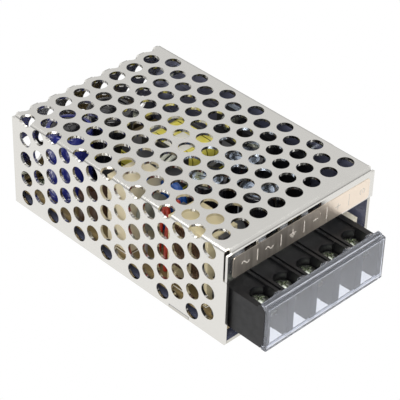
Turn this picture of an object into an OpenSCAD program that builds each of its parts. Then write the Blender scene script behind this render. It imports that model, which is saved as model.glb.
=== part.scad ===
// Enclosed switching power supply in a perforated case.
// X runs along the case with the terminals at +X, Y across it, Z up.
// The origin is the middle of the case's underside.

/* [Case] */
// Length of the case over its end walls
case_l = 78; // [78:1:100]
// Width of the case over its long walls
case_w = 51; // [51:1:60]
// Height of the case
case_h = 28; // [28:0.5:36]
// Thickness of the perforated cover sheet
cover_t = 0.7; // [0.5:0.1:0.9]
// Thickness of the plain base sheet
base_t = 1; // [0.8:0.1:1.2]
// Outside radius of the folds in both sheets
fold_r = 1.3; // [1.3:0.1:1.8]
// Height of the flange that hangs over the terminals
flange_h = 9; // [8:0.5:10]
// Height of the lip that laps over the back wall
lip_h = 6; // [5.5:0.5:8]
// Gap between the two sheets where they lap
sheet_gap = 0.1; // [0.05:0.05:0.15]

/* [Perforation] */
// Diameter of each hole in the cover
hole_d = 4.35; // [3.4:0.05:4.4]
// Distance between neighbouring columns of holes
col_pitch = 5.15; // [5.1:0.05:6]
// Distance between the holes of one column
row_pitch = 6.15; // [6:0.05:7]
// Distance from the left end to the first full column
first_col = 5; // [4.8:0.1:5.4]
// Distance from the long wall to the first full row
first_row = 3.8; // [3.6:0.1:4.4]
// Plain strip kept along the terminal end, up to a hole's centre
end_margin = 6; // [5:0.5:10]
// Plain strip kept along the back edge, up to a hole's centre
back_margin = 4; // [4:0.5:8]

/* [Circuit board] */
// Thickness of the board
pcb_t = 1.6; // [1.2:0.1:1.6]
// Height of the spacers under the board
spacer_h = 2.4; // [2.4:0.1:3]
// Gap between the board's edge and the case
pcb_gap = 0.8; // [0.5:0.1:1]

/* [Terminals] */
// Distance between neighbouring terminals
pole_pitch = 8; // [7.4:0.1:8]
// Width of the barrier between two wire pockets
barrier_w = 2.2; // [2:0.1:2.4]
// How far the block stands out past the case
block_reach = 11; // [10.5:0.5:12.5]
// How far the block reaches into the case
block_inside = 6; // [5.5:0.5:7]
// Height of the block above the board
block_h = 11.6; // [11:0.1:12]
// Diameter of the terminal screw's thread
screw_d = 3; // [2.5:0.1:3]
// Diameter of the terminal screw's head
head_d = 5; // [4.5:0.1:5]
// Wall of the clear terminal cover
guard_t = 1; // [0.8:0.1:1.2]

/* [Mounting] */
// Distance between the two tapped mounting holes
mount_pitch = 55; // [45:1:60]
// Core diameter of the tapped mounting holes
tap_d = 2.5; // [2:0.1:2.6]
// Height of the side mounting holes above the underside
side_mount_z = 12; // [11:0.5:14]

/* [Hidden] */
$fn = 48;
eps = 0.01;
run_fit = 0.05; // radial clearance of what turns or slides on a pin
seat_fit = 0.1; // clearance of what is pushed into a pocket
hole_r = hole_d / 2;
fold_loss = 0.47; // flat length that one fold takes out of the pattern
spacer_d = 5.5;
pcb_z = base_t + spacer_h;
pcb_top = pcb_z + pcb_t;
head_room = case_h - cover_t - pcb_top; // over the board
flange_z = case_h - flange_h;
back_wall_y = case_w - cover_t - sheet_gap; // outer face of the back wall
inner_back_y = back_wall_y - base_t;
film_t = 0.3; // insulating film
lead_d = 0.8;
lead_hole_d = 1;
lead_below = 1;
tab_w = 6.8; // locating tab of the base in the cover's lower edge
tab_x = case_l - 19.1; // left side of the long wall's tab
cols_right = floor((case_l - end_margin - first_col) / col_pitch);
cols_left = -floor((case_h - 1 - hole_r) / col_pitch);
rows_back = floor((case_w - back_margin - first_row) / row_pitch);
rows_down = -ceil((case_h - 1 - hole_r + first_row) / row_pitch);

// Terminal block, measured from the middle of its front face at board level
block_x = case_l / 2 + block_reach;
poles = 5; // one set of nodes is named for each
block_d = block_reach + block_inside;
block_w = poles * pole_pitch + 0.8;
block_y = -case_w / 2 + 1.45 + block_w / 2;
pocket_w = pole_pitch - barrier_w;
barrier_top = block_h;
floor_top = block_h - 0.6;
screw_x = -5.8;
well_back = screw_x - head_d / 2 - seat_fit;
pocket_back = screw_x - 1.2;
contact_z = 5.4;
contact_t = 1;
contact_end = -3;
contact_back = -block_reach - 3.5;
contact_w = pocket_w - 0.6;
clamp_t = 0.8;
clamp_l = 5;
clamp_lift = 1.5; // how far a clamp rises off its contact
plate_top = contact_z + contact_t + clamp_t + clamp_lift + seat_fit;
head_h = 2.4;
shank_l = 5.4;
hinge_x = -1.3;
hinge_z = barrier_top + 0.1;
hinge_r = 0.9;
guard_in = 0.2; // gap between the block's front and the clear plate
guard_low = -0.2;
guard_lip = 0.6;

// ---------- Helpers ----------

// Box between two opposite corners
module slab(low, high) {
    translate(low) cube(high - low);
}

// Places children from the case's left front lower corner
module from_corner() {
    translate([-case_l / 2, -case_w / 2, 0]) children();
}

// Places children on the board at a point measured from the same corner
module on_board(p) {
    from_corner() translate([p.x, p.y, pcb_top]) children();
}

// Places children on the block's own axes
module on_block() {
    translate([block_x, block_y, pcb_top]) children();
}

// Middle of each pole across the block
function pole_y(i) = (i - (poles + 1) / 2) * pole_pitch;

// Profile drawn in X and Z, run along Y between two places
module along_y(from, to) {
    translate([0, to, 0]) rotate([90, 0, 0]) linear_extrude(to - from) children();
}

// Profile drawn in Y and Z, run along X between two places
module along_x(from, to) {
    translate([from, 0, 0]) rotate([90, 0, 90]) linear_extrude(to - from) children();
}

// Rectangle from the origin with its lower right corner rounded
module one_round(w, h, r) {
    translate([w - r, r]) circle(r);
    square([w - r, h]);
    translate([0, r]) square([w, h - r]);
}

// Sheet that runs right from the origin and turns up at its end
module bent_profile(w, h, t, r) {
    difference() {
        one_round(w, h, r);
        translate([-1, t]) one_round(w - t + 1, h, r - t);
    }
}

// Rectangle with round corners
module round_rect(w, h, r) {
    for (x = [r, w - r], y = [r, h - r]) translate([x, y]) circle(r);
    translate([r, 0]) square([w - 2 * r, h]);
    translate([0, r]) square([w, h - 2 * r]);
}

// ---------- Perforated cover ----------

// Top sheet with a wall or lip folded down at each side, as one profile
module folded_profile(width, left_h, right_h) {
    middle = width / 2;
    translate([middle - 1, case_h]) mirror([0, 1]) bent_profile(middle + 1, right_h, cover_t, fold_r);
    translate([middle + 1, case_h]) rotate(180) bent_profile(middle + 1, left_h, cover_t, fold_r);
}

module cover_sheet() {
    wall_top = case_h - fold_r;
    along_x(fold_r, case_l - fold_r) folded_profile(case_w, case_h, lip_h);
    along_y(fold_r, case_w - fold_r) folded_profile(case_l, case_h, flange_h);
    lap = 2 * fold_r;
    // The walls run on past the folds to the corners
    slab([0, 0, 0], [lap, cover_t, wall_top]);
    slab([case_l - lap, 0, 0], [case_l, cover_t, flange_z - sheet_gap]);
    slab([0, cover_t + sheet_gap, 0], [cover_t, lap, wall_top]);
    slab([0, case_w - lap, 0], [cover_t, case_w, wall_top]);
    // The flange closes both upper corners of the open end
    slab([case_l - cover_t, 0, flange_z], [case_l, lap, wall_top]);
    slab([case_l - cover_t, case_w - lap, flange_z], [case_l, case_w, wall_top]);
}

// A hole in the flat pattern lands on the top, on a wall, or round the fold between
module punch_column(i) {
    x = first_col + i * col_pitch;
    stagger = (i % 2 == 0) ? 0.5 : 0;
    for (k = [rows_down : rows_back]) {
        v = first_row + (k + stagger) * row_pitch;
        wall_z = case_h + v - fold_loss;
        end_z = case_h + x - fold_loss;
        if (v > -hole_r && v <= case_w - back_margin + eps && x > -hole_r)
            translate([x, v, case_h - fold_r]) cylinder(h = 2 * fold_r, r = hole_r);
        if (v < hole_r && wall_z - hole_r > 1 && x > hole_r)
            translate([x, fold_r, wall_z]) rotate([90, 0, 0]) cylinder(h = 2 * fold_r, r = hole_r);
        if (v > hole_r && v <= case_w - back_margin + eps && x < hole_r && end_z - hole_r > 1)
            translate([-fold_r, v, end_z]) rotate([0, 90, 0]) cylinder(h = 2 * fold_r, r = hole_r);
    }
}

// Slots that let the flange fold cleanly
module flange_slots() {
    slot_w = 4.6;
    slot_h = 1.3;
    slot_pitch = 7.2;
    first_slot = 5.4;
    for (k = [0:3])
        translate([case_l - 2 * cover_t, first_slot + k * slot_pitch, case_h - 1.2 - slot_h])
            cube([3 * cover_t, slot_w, slot_h]);
}

// Cover screw, drawn with its flat head's top at the origin and its tip along -Z
module flat_head_screw(gap = 0) {
    translate([0, 0, -1.2]) cylinder(h = 1.2 + eps, r1 = tap_d / 2 - run_fit + gap, r2 = 2 + gap);
    translate([0, 0, -4]) cylinder(h = 4, r = tap_d / 2 - run_fit + gap);
}

// Cover screws sit in the lapping lip
module at_cover_screws() {
    for (x = [9, case_l - 19])
        translate([x, case_w, case_h - (lip_h + fold_r) / 2]) rotate([-90, 0, 0]) children();
}

module case_cover() {
    color("lightgray") from_corner() difference() {
        cover_sheet();
        for (i = [cols_left : cols_right]) punch_column(i);
        flange_slots();
        // Slot in the back fold
        slab([case_l - 13.5, case_w - 0.9, case_h - 1.1], [case_l - 1.6, case_w + 1, case_h + 1]);
        // Notches for the base's locating tabs
        slab([tab_x - seat_fit, -1, -1], [tab_x + tab_w + seat_fit, cover_t + eps, base_t + seat_fit]);
        slab([-1, (case_w - tab_w) / 2 - seat_fit, -1],
            [cover_t + eps, (case_w + tab_w) / 2 + seat_fit, base_t + seat_fit]);
        at_cover_screws() flat_head_screw(run_fit);
    }
}

module cover_screws() {
    color("silver") from_corner() at_cover_screws() difference() {
        flat_head_screw();
        for (a = [0, 90]) rotate([0, 0, a]) translate([-1.2, -0.25, -0.8]) cube([2.4, 0.5, 1]);
    }
}

// Film with the terminal legends, stuck on the flange
module legend_label() {
    label_t = 0.1;
    color("gainsboro") from_corner() translate([case_l, 1.8, flange_z + 0.4])
        along_x(0, label_t) round_rect(case_w - 3.4, flange_h - 3, 0.9);
}

// ---------- Base ----------

// Bottom and back wall as one folded profile
module base_profile() {
    front = cover_t + sheet_gap;
    translate([front, 0]) bent_profile(back_wall_y - front, case_h - fold_r, base_t, fold_r);
}

// Points of the two bottom mounts and the two side mounts along the case
mount_x = [case_l / 2 - mount_pitch / 2, case_l / 2 + mount_pitch / 2];

// Collar that is drawn up round a tapped hole
module collar(h, bore = false) {
    if (bore) translate([0, 0, -base_t - 1]) cylinder(h = h + base_t + 2, r = tap_d / 2);
    else cylinder(h = h, r = tap_d / 2 + 1);
}

module at_bottom_mounts() {
    for (x = mount_x) translate([x, case_w / 2, base_t]) children();
}

module at_side_mounts() {
    for (x = mount_x) translate([x, inner_back_y, side_mount_z]) rotate([90, 0, 0]) children();
}

// Screw of the power transistor, in the back wall
transistor_p = [31.5, inner_back_y - film_t];
transistor_screw_z = pcb_top + 14.2;

module case_base() {
    left = cover_t + sheet_gap;
    color("silver") from_corner() difference() {
        union() {
            along_x(left, case_l) base_profile();
            at_bottom_mounts() collar(1.4);
            at_side_mounts() collar(1.2);
            slab([tab_x, 0, 0], [tab_x + tab_w, 2, base_t]);
            slab([0, (case_w - tab_w) / 2, 0], [2, (case_w + tab_w) / 2, base_t]);
        }
        at_bottom_mounts() collar(1.4, bore = true);
        at_side_mounts() collar(1.2, bore = true);
        // The back wall stops behind the flange
        slab([case_l - cover_t - sheet_gap, inner_back_y - 1, flange_z - sheet_gap],
            [case_l + 1, back_wall_y + 1, case_h]);
        at_cover_screws() flat_head_screw(run_fit);
        translate([transistor_p.x, inner_back_y - 1, transistor_screw_z]) rotate([-90, 0, 0])
            cylinder(h = base_t + 2, r = tap_d / 2);
    }
}

// ---------- Board and what holds it ----------

pcb_low = [cover_t + pcb_gap, cover_t + pcb_gap];
pcb_high = [case_l - 1, inner_back_y - film_t - 0.2];

// Spacer points, measured from the case's left front corner
spacer_points = [
    [pcb_low.x + 3.4, pcb_low.y + 3.4],
    [pcb_low.x + 3.4, pcb_high.y - 3.4],
    [case_l - 13.8, pcb_high.y - 3.4]];

module at_spacers(z) {
    from_corner() for (p = spacer_points) translate([p.x, p.y, z]) children();
}

// Film that lines the bottom and stands up along the back wall
module insulation_sheet() {
    film_up = 9.6;
    film_r = 0.7;
    color("ivory") difference() {
        from_corner() difference() {
            along_x(pcb_low.x, case_l - 0.6) translate([pcb_low.y, base_t])
                bent_profile(inner_back_y - pcb_low.y, film_up, film_t, film_r);
            at_bottom_mounts() translate([0, 0, -eps]) cylinder(h = 2, r = tap_d / 2 + 1.5);
            translate([transistor_p.x - 6, inner_back_y - 1, pcb_top + 1]) cube([12, 2, film_up]);
            at_side_mounts() translate([0, 0, -1]) cylinder(h = 3, r = tap_d / 2 + 1.5);
        }
        at_spacers(base_t - eps) cylinder(h = 1, d = spacer_d + 0.4);
    }
}

module pcb_spacers() {
    color("silver") at_spacers(base_t) difference() {
        cylinder(h = spacer_h, d = spacer_d);
        translate([0, 0, -eps]) cylinder(h = spacer_h + 1, r = tap_d / 2);
    }
}

// Pan head with a cross recess, its seat at the origin
module pan_head(d, h) {
    difference() {
        rotate_extrude() intersection() {
            square([d / 2, h]);
            translate([0, h - 0.85 * d]) circle(0.85 * d);
        }
        for (a = [0, 90]) rotate([0, 0, a])
            translate([-0.32 * d, -0.07 * d, 0.45 * h]) cube([0.64 * d, 0.14 * d, h]);
    }
}

module pcb_screws() {
    color("silver") at_spacers(pcb_top) {
        pan_head(4.4, 1.6);
        translate([0, 0, -pcb_t - 1.8]) cylinder(h = pcb_t + 1.8 + eps, r = tap_d / 2 - run_fit);
    }
}

// ---------- Parts on the board, placed from the case's left front corner ----------

sink_t = 2.4;
sink_p = [45, case_w - 5.2];
diode_p = [sink_p.x, sink_p.y - sink_t / 2];
diode_front = diode_p.y - 4.5;
input_cap_p = [[12.3, 8.6], [13.2, 21.6]];
fuse_p = [24.2, 6.6];
bridge_p = [26.4, 13.6];
film_cap_p = [37.6, 7.8];
thermistor_p = [44.9, 7.4];
safety_p = [44, 14.8];
choke_p = [case_l - 15.8, 7.4];
core_half = 10.4; // from the transformer's middle to the outside of a yoke
transformer_p = [32, diode_front - 0.4 - core_half];
output_cap_p = [[49.6, diode_front - 5.7], [49.6, 21.4], [61.4, 27.4]];
inductor_p = [61.6, 17.2];
opto_p = [57.4, 38.4];
led_p = [case_l - 9.3, case_w - 5.4];
trimmer_p = [case_l - 4.4, case_w - 5.6];
resistor_p = [[65.6, 34.6], [65.6, 38.4]];

// Lead points of each kind of part, about the part's own middle
cap_leads = [[-2.5, 0], [2.5, 0]];
fuse_leads = [[-2.5, 0], [2.5, 0]];
bridge_leads = [[-3.9, 0], [-1.3, 0], [1.3, 0], [3.9, 0]];
film_cap_leads = [[0, -3.75], [0, 3.75]];
disc_leads = [[0, -2.5], [0, 2.5]];
choke_leads = [[-5.5, -3.5], [-5.5, 3.5], [5.5, -3.5], [5.5, 3.5]];
transformer_leads = [for (x = [-8, 8], y = [-7.5, -2.5, 2.5, 7.5]) [x, y]];
device_leads = [[-2.54, 0], [0, 0], [2.54, 0]];
opto_leads = [for (x = [-1.27, 1.27], y = [-3.8, 3.8]) [x, y]];
led_leads = [[0, -1.27], [0, 1.27]];
trimmer_leads = [[-1.8, -1.6], [-1.8, 1.6], [1, 0]];
resistor_leads = [[-4.6, 0], [4.6, 0]];
device_back = 2.9; // from a device's leads to the back of its tab

// Leads that run down through the board, wider above it so that they stand on it
module leads(points, top = 0.6) {
    for (p = points) translate([p.x, p.y, 0]) {
        translate([0, 0, -pcb_t - lead_below])
            cylinder(h = pcb_t + lead_below + eps, d = lead_d, $fn = 16);
        cylinder(h = top, d = lead_d + 0.5, $fn = 16);
    }
}

// The holes for one part's leads
module lead_holes(at, points) {
    for (p = points) translate([at.x + p.x, at.y + p.y, pcb_z - 1])
        cylinder(h = pcb_t + 2, d = lead_hole_d, $fn = 16);
}

module pcb() {
    device_shift = [0, device_back];
    color("wheat") difference() {
        from_corner() difference() {
            slab([pcb_low.x, pcb_low.y, pcb_z], [pcb_high.x, pcb_high.y, pcb_top]);
            for (p = concat(input_cap_p, output_cap_p)) lead_holes(p, cap_leads);
            lead_holes(fuse_p, fuse_leads);
            lead_holes(bridge_p, bridge_leads);
            lead_holes(film_cap_p, film_cap_leads);
            lead_holes(thermistor_p, disc_leads);
            lead_holes(safety_p, cap_leads);
            lead_holes(choke_p, choke_leads);
            lead_holes(transformer_p, transformer_leads);
            lead_holes(inductor_p, cap_leads);
            for (p = [diode_p, transistor_p]) lead_holes(p - device_shift, device_leads);
            lead_holes(opto_p, opto_leads);
            lead_holes(led_p, led_leads);
            lead_holes(trimmer_p, trimmer_leads);
            for (p = resistor_p) lead_holes(p, resistor_leads);
        }
        at_spacers(pcb_z - 1) cylinder(h = pcb_t + 2, r = tap_d / 2 + 0.2);
        on_block() for (i = [1 : poles]) translate([0, pole_y(i), 0]) contact_pins(seat_fit);
        on_block() block_pegs(seat_fit);
    }
}

// Electrolytic capacitor: sleeve rolled over the rim, recessed vented top, groove near the base
module electrolytic(d, h, c) {
    color(c) {
        rotate_extrude() difference() {
            union() {
                square([d / 2 - 0.8, h]);
                translate([0, 0.4]) square([d / 2 - 0.5, h - 0.4]);
                translate([0, 0.9]) square([d / 2, h - 1.4]);
                for (z = [0.9, h - 0.5]) translate([d / 2 - 0.5, z]) circle(0.5, $fn = 24);
            }
            translate([d / 2 + 0.25, 2.6]) circle(0.6, $fn = 24);
            translate([0, h - 0.3]) square([d / 2 - 1.1, 1]);
        }
        leads(cap_leads);
    }
}

module input_capacitor(i) {
    on_board(input_cap_p[i - 1]) electrolytic(12, head_room - 1.3, i == 1 ? "midnightblue" : "#26262c");
}

module output_capacitor(i) {
    on_board(output_cap_p[i - 1]) electrolytic(10, head_room - 3.3, "#26262c");
}

module fuse() {
    color("#3a2a20") on_board(fuse_p) {
        cylinder(h = 7.7, d = 8.4);
        translate([0, 0, 7.7]) cylinder(h = 0.4, d1 = 8.4, d2 = 7.6);
        leads(fuse_leads);
    }
}

module bridge_rectifier() {
    color("#202020") on_board(bridge_p) {
        translate([-5.2, -1.8, 1.5]) cube([8.8, 3.6, 10.4]);
        translate([-5.2, -1.8, 1.5]) cube([10.4, 3.6, 8.8]);
        translate([3.6, 1.8, 10.3]) rotate([90, 0, 0]) cylinder(h = 3.6, r = 1.6);
        leads(bridge_leads, 1.6);
    }
}

module film_capacitor() {
    color("cornsilk") on_board(film_cap_p) {
        translate([-4, -5.5, 0.4]) linear_extrude(head_room - 2.5) round_rect(8, 11, 0.5);
        for (y = [-5, 4]) translate([-3.5, y, 0]) cube([7, 1, 0.5]);
        leads(film_cap_leads);
    }
}

// Lacquered disc on edge, facing along X, its lower rim at the origin
module disc_part(d, t) {
    translate([-t / 2, 0, d / 2]) rotate([0, 90, 0]) rotate_extrude() {
        square([d / 2 - t / 2, t]);
        translate([d / 2 - t / 2, t / 2]) circle(t / 2, $fn = 24);
    }
}

module thermistor() {
    color("#6c6f66") on_board(thermistor_p) {
        translate([0, 0, 7.5]) disc_part(10, 3.4);
        leads(disc_leads, 9);
    }
}

module safety_capacitor() {
    color("royalblue") on_board(safety_p) {
        translate([0, 0, 8.4]) rotate(90) disc_part(9.6, 2.4);
        leads(cap_leads, 10);
    }
}

// Filter choke lying along X: two wound sections on a bobbin, a square core through it
choke_core = [3.4, 4.4]; // core section across and up
choke_z = (head_room - 1.1) / 2;
choke_top = 2 * choke_z - 1.2;

module line_choke_core() {
    leg = choke_core.x;
    color("#2b2b2e") on_board(choke_p) translate([0, 0, choke_z]) {
        translate([-8.4, -leg / 2, -choke_core.y / 2]) cube([16.8, leg, choke_core.y]);
        for (x = [-8.4, 7]) translate([x, -leg / 2, 1.4 - choke_z]) cube([1.4, leg, choke_top - 1.6]);
    }
}

module line_choke_bobbin() {
    hole = choke_core + [0.2, 0.2];
    color("cornsilk") on_board(choke_p) {
        difference() {
            union() {
                for (x = [-6.8, -0.6, 5.6]) translate([x, -4.8, 2.6]) cube([1.2, 9.6, choke_top - 2.6]);
                translate([-6.8, -3, choke_z - 3.4]) cube([13.6, 6, 6.8]);
                translate([-6.8, -4.8, choke_top - 1.2]) cube([13.6, 9.6, 1.2]);
                for (x = [-6.8, 4.8]) translate([x, -4.8, 0]) cube([2, 9.6, 3.4]);
            }
            translate([-10, -hole.x / 2, choke_z - hole.y / 2]) cube([20, hole.x, hole.y]);
        }
        leads(choke_leads);
    }
}

module line_choke_windings() {
    color("#b5523a") on_board(choke_p) translate([0, 0, choke_z]) for (x = [-5.5, 0.7])
        translate([x, 0, 0]) rotate([90, 0, 90]) linear_extrude(4.8) difference() {
            translate([-4.4, 4.2 - choke_z]) round_rect(8.8, choke_top - 6, 2);
            translate([-3.05, -3.45]) square([6.1, 6.9]);
        }
}

// Transformer: two ferrite halves taped round a pin bobbin, winding wrapped in tape
core_l = 22.4; // over the outer legs
core_leg = 2.8;
core_yoke = 3.6;
core_z = 4.6;
foot_h = 3.2; // pin blocks under the core
core_h = 10.4;
axle_z = core_z + core_h / 2;
window_w = core_l - 2 * core_leg;
wound_l = 2 * (core_half - core_yoke) - 1;
wound_h = 8.8; // from the axle to the top of the winding

module transformer_core() {
    color("#2a2a2c") on_board(transformer_p) {
        translate([0, 0, core_z]) linear_extrude(core_h) difference() {
            square([core_l, 2 * core_half], center = true);
            square([window_w, 2 * (core_half - core_yoke)], center = true);
        }
        translate([0, core_half - core_yoke / 2, axle_z]) rotate([90, 0, 0])
            cylinder(h = 2 * core_half - core_yoke, d = 6.4);
    }
}

module core_tape() {
    tape_t = 0.15;
    tape_w = 7;
    color("#e8d84a") on_board(transformer_p) translate([0, 0, axle_z - tape_w / 2])
        linear_extrude(tape_w) difference() {
            square([core_l + 2 * tape_t, 2 * core_half + 2 * tape_t], center = true);
            square([core_l, 2 * core_half], center = true);
        }
}

module transformer_bobbin() {
    flange_w = window_w - 0.4;
    color("#3c3a36") on_board(transformer_p) {
        difference() {
            translate([-core_l / 2 - 0.4, -core_half, 0]) cube([core_l + 0.8, 2 * core_half, foot_h]);
            translate([-6.4, -core_half - 1, -1]) cube([12.8, 2 * core_half + 2, 2.4]);
        }
        translate([0, wound_l / 2, axle_z]) rotate([90, 0, 0]) difference() {
            union() {
                for (z = [0, wound_l - 1]) translate([-flange_w / 2, foot_h - axle_z - 0.2, z])
                    cube([flange_w, axle_z + wound_h - foot_h, 1]);
                cylinder(h = wound_l, d = 8.2);
            }
            translate([0, 0, -1]) cylinder(h = wound_l + 2, d = 6.6);
        }
        leads(transformer_leads, 0.4);
    }
}

module transformer_winding() {
    turn_w = window_w - 0.8;
    low = foot_h + 0.2 - axle_z;
    color("#e8d84a") on_board(transformer_p) translate([0, wound_l / 2 - 1.05, axle_z]) rotate([90, 0, 0])
        linear_extrude(wound_l - 2.1) difference() {
            translate([-turn_w / 2, low]) round_rect(turn_w, wound_h - 0.2 - low, 2.6);
            circle(d = 8.3);
        }
}

module output_inductor() {
    color("#303034") on_board(inductor_p) {
        rotate_extrude() difference() {
            square([4, 12.4]);
            translate([3.2, 1.8]) square([2, 9.2]);
        }
        leads(cap_leads);
    }
}

module heat_sink() {
    color("#29292d") on_board(sink_p) {
        difference() {
            translate([-8, -sink_t / 2, 0]) cube([24, sink_t, head_room - 3.3]);
            for (x = [-5 : 3 : 13]) translate([x, 0.2, 1.8]) cube([1.6, 2, head_room]);
            translate([0, 0, 14.2]) rotate([90, 0, 0]) cylinder(h = 6, r = tap_d / 2, center = true);
        }
    }
}

// Tab package with its leads, drawn with the back of the tab on Y = 0
module tab_device() {
    difference() {
        translate([-5, -1.3, 2.2]) cube([10, 1.3, 15.6]);
        translate([0, 1, 14.2]) rotate([90, 0, 0]) cylinder(h = 4, r = 1.8);
    }
    difference() {
        translate([-5, -4.5, 2.2]) cube([10, 3.3, 9.2]);
        translate([0, -4.5, 9]) rotate([90, 0, 0]) cylinder(h = 1, r = 0.8, center = true);
    }
    translate([0, -device_back, 0]) leads(device_leads, 2.4);
}

module output_diode() {
    color("#232325") on_board(diode_p) tab_device();
}

module power_transistor() {
    color("#232325") on_board(transistor_p) tab_device();
}

module thermal_pad() {
    color("lightsteelblue") on_board(transistor_p) difference() {
        translate([-5.6, 0, 2]) cube([11.2, film_t, 17]);
        translate([0, -1, 14.2]) rotate([-90, 0, 0]) cylinder(h = 3, r = tap_d / 2 + 0.3);
    }
}

// One screw through each tab
module device_screws() {
    color("silver") for (p = [diode_p, transistor_p]) on_board(p)
        translate([0, -1.3, 14.2]) rotate([90, 0, 0]) {
            pan_head(4.8, 1.8);
            translate([0, 0, -2.3]) cylinder(h = 2.3 + eps, r = tap_d / 2 - run_fit);
        }
}

module optocoupler() {
    color("#1e1e1e") on_board(opto_p) {
        translate([-2.3, -3.2, 0.5]) cube([4.6, 6.4, 3.4]);
        for (x = [-1.27, 1.27], side = [-1, 1]) translate([x - 0.3, side * 3.6 - 0.4, 0.2]) cube([0.6, 0.8, 2.2]);
        leads(opto_leads, 0.4);
    }
}

module indicator_led() {
    color("palegreen") on_board(led_p) {
        cylinder(h = 1, r = 1.9);
        cylinder(h = 4.1, r = 1.5);
        translate([0, 0, 4.1]) sphere(1.5);
        leads(led_leads);
    }
}

// Voltage trimmer, adjusted with a screwdriver from the open end
trimmer_axis_z = 4.6;
rotor_r = 1.7;

module trimmer_body() {
    color("ivory") on_board(trimmer_p) difference() {
        union() {
            translate([-3, -2.8, 0]) cube([5.6, 5.6, 7.7]);
            leads(trimmer_leads);
        }
        translate([0.6, 0, trimmer_axis_z]) rotate([0, 90, 0]) cylinder(h = 4, r = rotor_r + run_fit);
    }
}

module trimmer_rotor() {
    color("goldenrod") on_board(trimmer_p) translate([0, 0, trimmer_axis_z]) rotate([0, 90, 0]) difference() {
        translate([0, 0, 0.7]) cylinder(h = 2.5, r = rotor_r);
        translate([-1.4, -0.3, 2.4]) cube([2.8, 0.6, 2]);
    }
}

// Two resistors lying on bent leads
module resistors() {
    r_z = 1.4;
    color("#8fb2c4") for (p = resistor_p) on_board(p) {
        translate([-3.2, 0, r_z]) rotate([0, 90, 0]) cylinder(h = 6.4, r = 1.2);
        for (x = [-3.2, 1.8]) translate([x, 0, r_z]) rotate([0, 90, 0]) cylinder(h = 1.4, r = 1.4);
        translate([-4.6, 0, r_z]) rotate([0, 90, 0]) cylinder(h = 9.2, d = lead_d, $fn = 16);
        leads(resistor_leads, r_z);
    }
}

// ---------- Terminal block ----------

// Side outline of one barrier, stepped at the front foot for the clear cover's lip
module barrier_profile() {
    step = guard_lip + 0.2;
    polygon([[-block_d, 0], [-step, 0], [-step, 1], [0, 1], [0, barrier_top], [-block_d, barrier_top]]);
}

module block_pegs(gap = 0) {
    for (y = [-pole_pitch, pole_pitch] * floor(poles / 2))
        translate([-block_d + 2.4, y, -1.2]) cylinder(h = 1.2 + eps + gap, r = 0.8 + gap);
}

// Tab and leg of one contact with an optional clearance, about the pole's middle
module contact_strip(gap = 0) {
    translate([contact_back - gap, -contact_w / 2 - gap, contact_z])
        cube([contact_end - contact_back + 2 * gap, contact_w + 2 * gap, contact_t + gap]);
    translate([contact_back - gap, -2 - gap, -gap])
        cube([contact_t + 2 * gap, 4 + 2 * gap, contact_z + gap + eps]);
}

module contact_pins(gap = 0) {
    for (y = [-1.3, 1.3]) translate([contact_back + contact_t / 2, y, -pcb_t - lead_below - gap])
        cylinder(h = pcb_t + lead_below + gap + 1, r = 0.5 + gap, $fn = 24);
}

module terminal_block() {
    color("#27272b") on_block() difference() {
        union() {
            slab([-block_d, -block_w / 2, 0], [pocket_back, block_w / 2, floor_top]);
            for (k = [0 : poles]) {
                y = pole_y(k) + pole_pitch / 2;
                low = max(y - barrier_w / 2, -block_w / 2);
                high = min(y + barrier_w / 2, block_w / 2);
                along_y(low, high) barrier_profile();
            }
            // Ledges that carry the contacts' tips
            for (i = [1 : poles], side = [-1, 1])
                translate([pocket_back - eps, pole_y(i) + side * (pocket_w / 2 - 0.3) - 0.5, contact_z - 1.4])
                    cube([2.4, 1, 1.4]);
            // Rod that the clear cover swings on
            translate([hinge_x, block_w / 2, hinge_z]) rotate([90, 0, 0]) cylinder(h = block_w, r = hinge_r);
            block_pegs();
        }
        for (i = [1 : poles]) translate([0, pole_y(i), 0]) {
            // Well open to the front: square where the plate rides, round above it
            slab([well_back, -pocket_w / 2, contact_z], [pocket_back + eps, pocket_w / 2, plate_top]);
            translate([screw_x, 0, contact_z]) cylinder(h = block_h, r = head_d / 2 + seat_fit);
            contact_strip(run_fit);
            // Clearance for the end of the screw
            translate([screw_x, 0, 1]) cylinder(h = contact_z, r = screw_d / 2 + 0.3);
        }
        // Groove along the top of each inner barrier
        for (k = [1 : poles - 1])
            translate([-block_d + 2, pole_y(k) + pole_pitch / 2 - 0.3, barrier_top - 0.6])
                cube([block_d - 5, 0.6, 1]);
    }
}

module terminal_contact(i) {
    color("#c9b27a") on_block() translate([0, pole_y(i), 0]) difference() {
        union() {
            contact_strip();
            contact_pins();
        }
        translate([screw_x, 0, contact_z - 1]) cylinder(h = contact_t + 2, r = screw_d / 2 + run_fit);
    }
}

// Square washer held on the screw, guided by the pocket's sides
module clamp_plate(i) {
    plate_w = pocket_w - 0.4;
    color("silver") on_block() translate([screw_x, pole_y(i), contact_z + contact_t])
        linear_extrude(clamp_t) difference() {
            translate([-clamp_l / 2, -plate_w / 2]) round_rect(clamp_l, plate_w, 0.4);
            circle(screw_d / 2 + run_fit);
        }
}

module terminal_screw(i) {
    color("silver") on_block() translate([screw_x, pole_y(i), contact_z + contact_t + clamp_t]) {
        pan_head(head_d, head_h);
        translate([0, 0, -shank_l + 0.4]) cylinder(h = shank_l - 0.4 + eps, r = screw_d / 2);
        translate([0, 0, -shank_l]) cylinder(h = 0.4 + eps, r1 = screw_d / 2 - 0.4, r2 = screw_d / 2);
    }
}

// Part ring about the hinge, from straight up round to the back
module hook_profile() {
    intersection() {
        difference() {
            circle(hinge_r + 0.55);
            circle(hinge_r + run_fit);
        }
        polygon([[0, 0], [eps, 3], [-3, 3], [-3, -2.4]]);
    }
}

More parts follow.
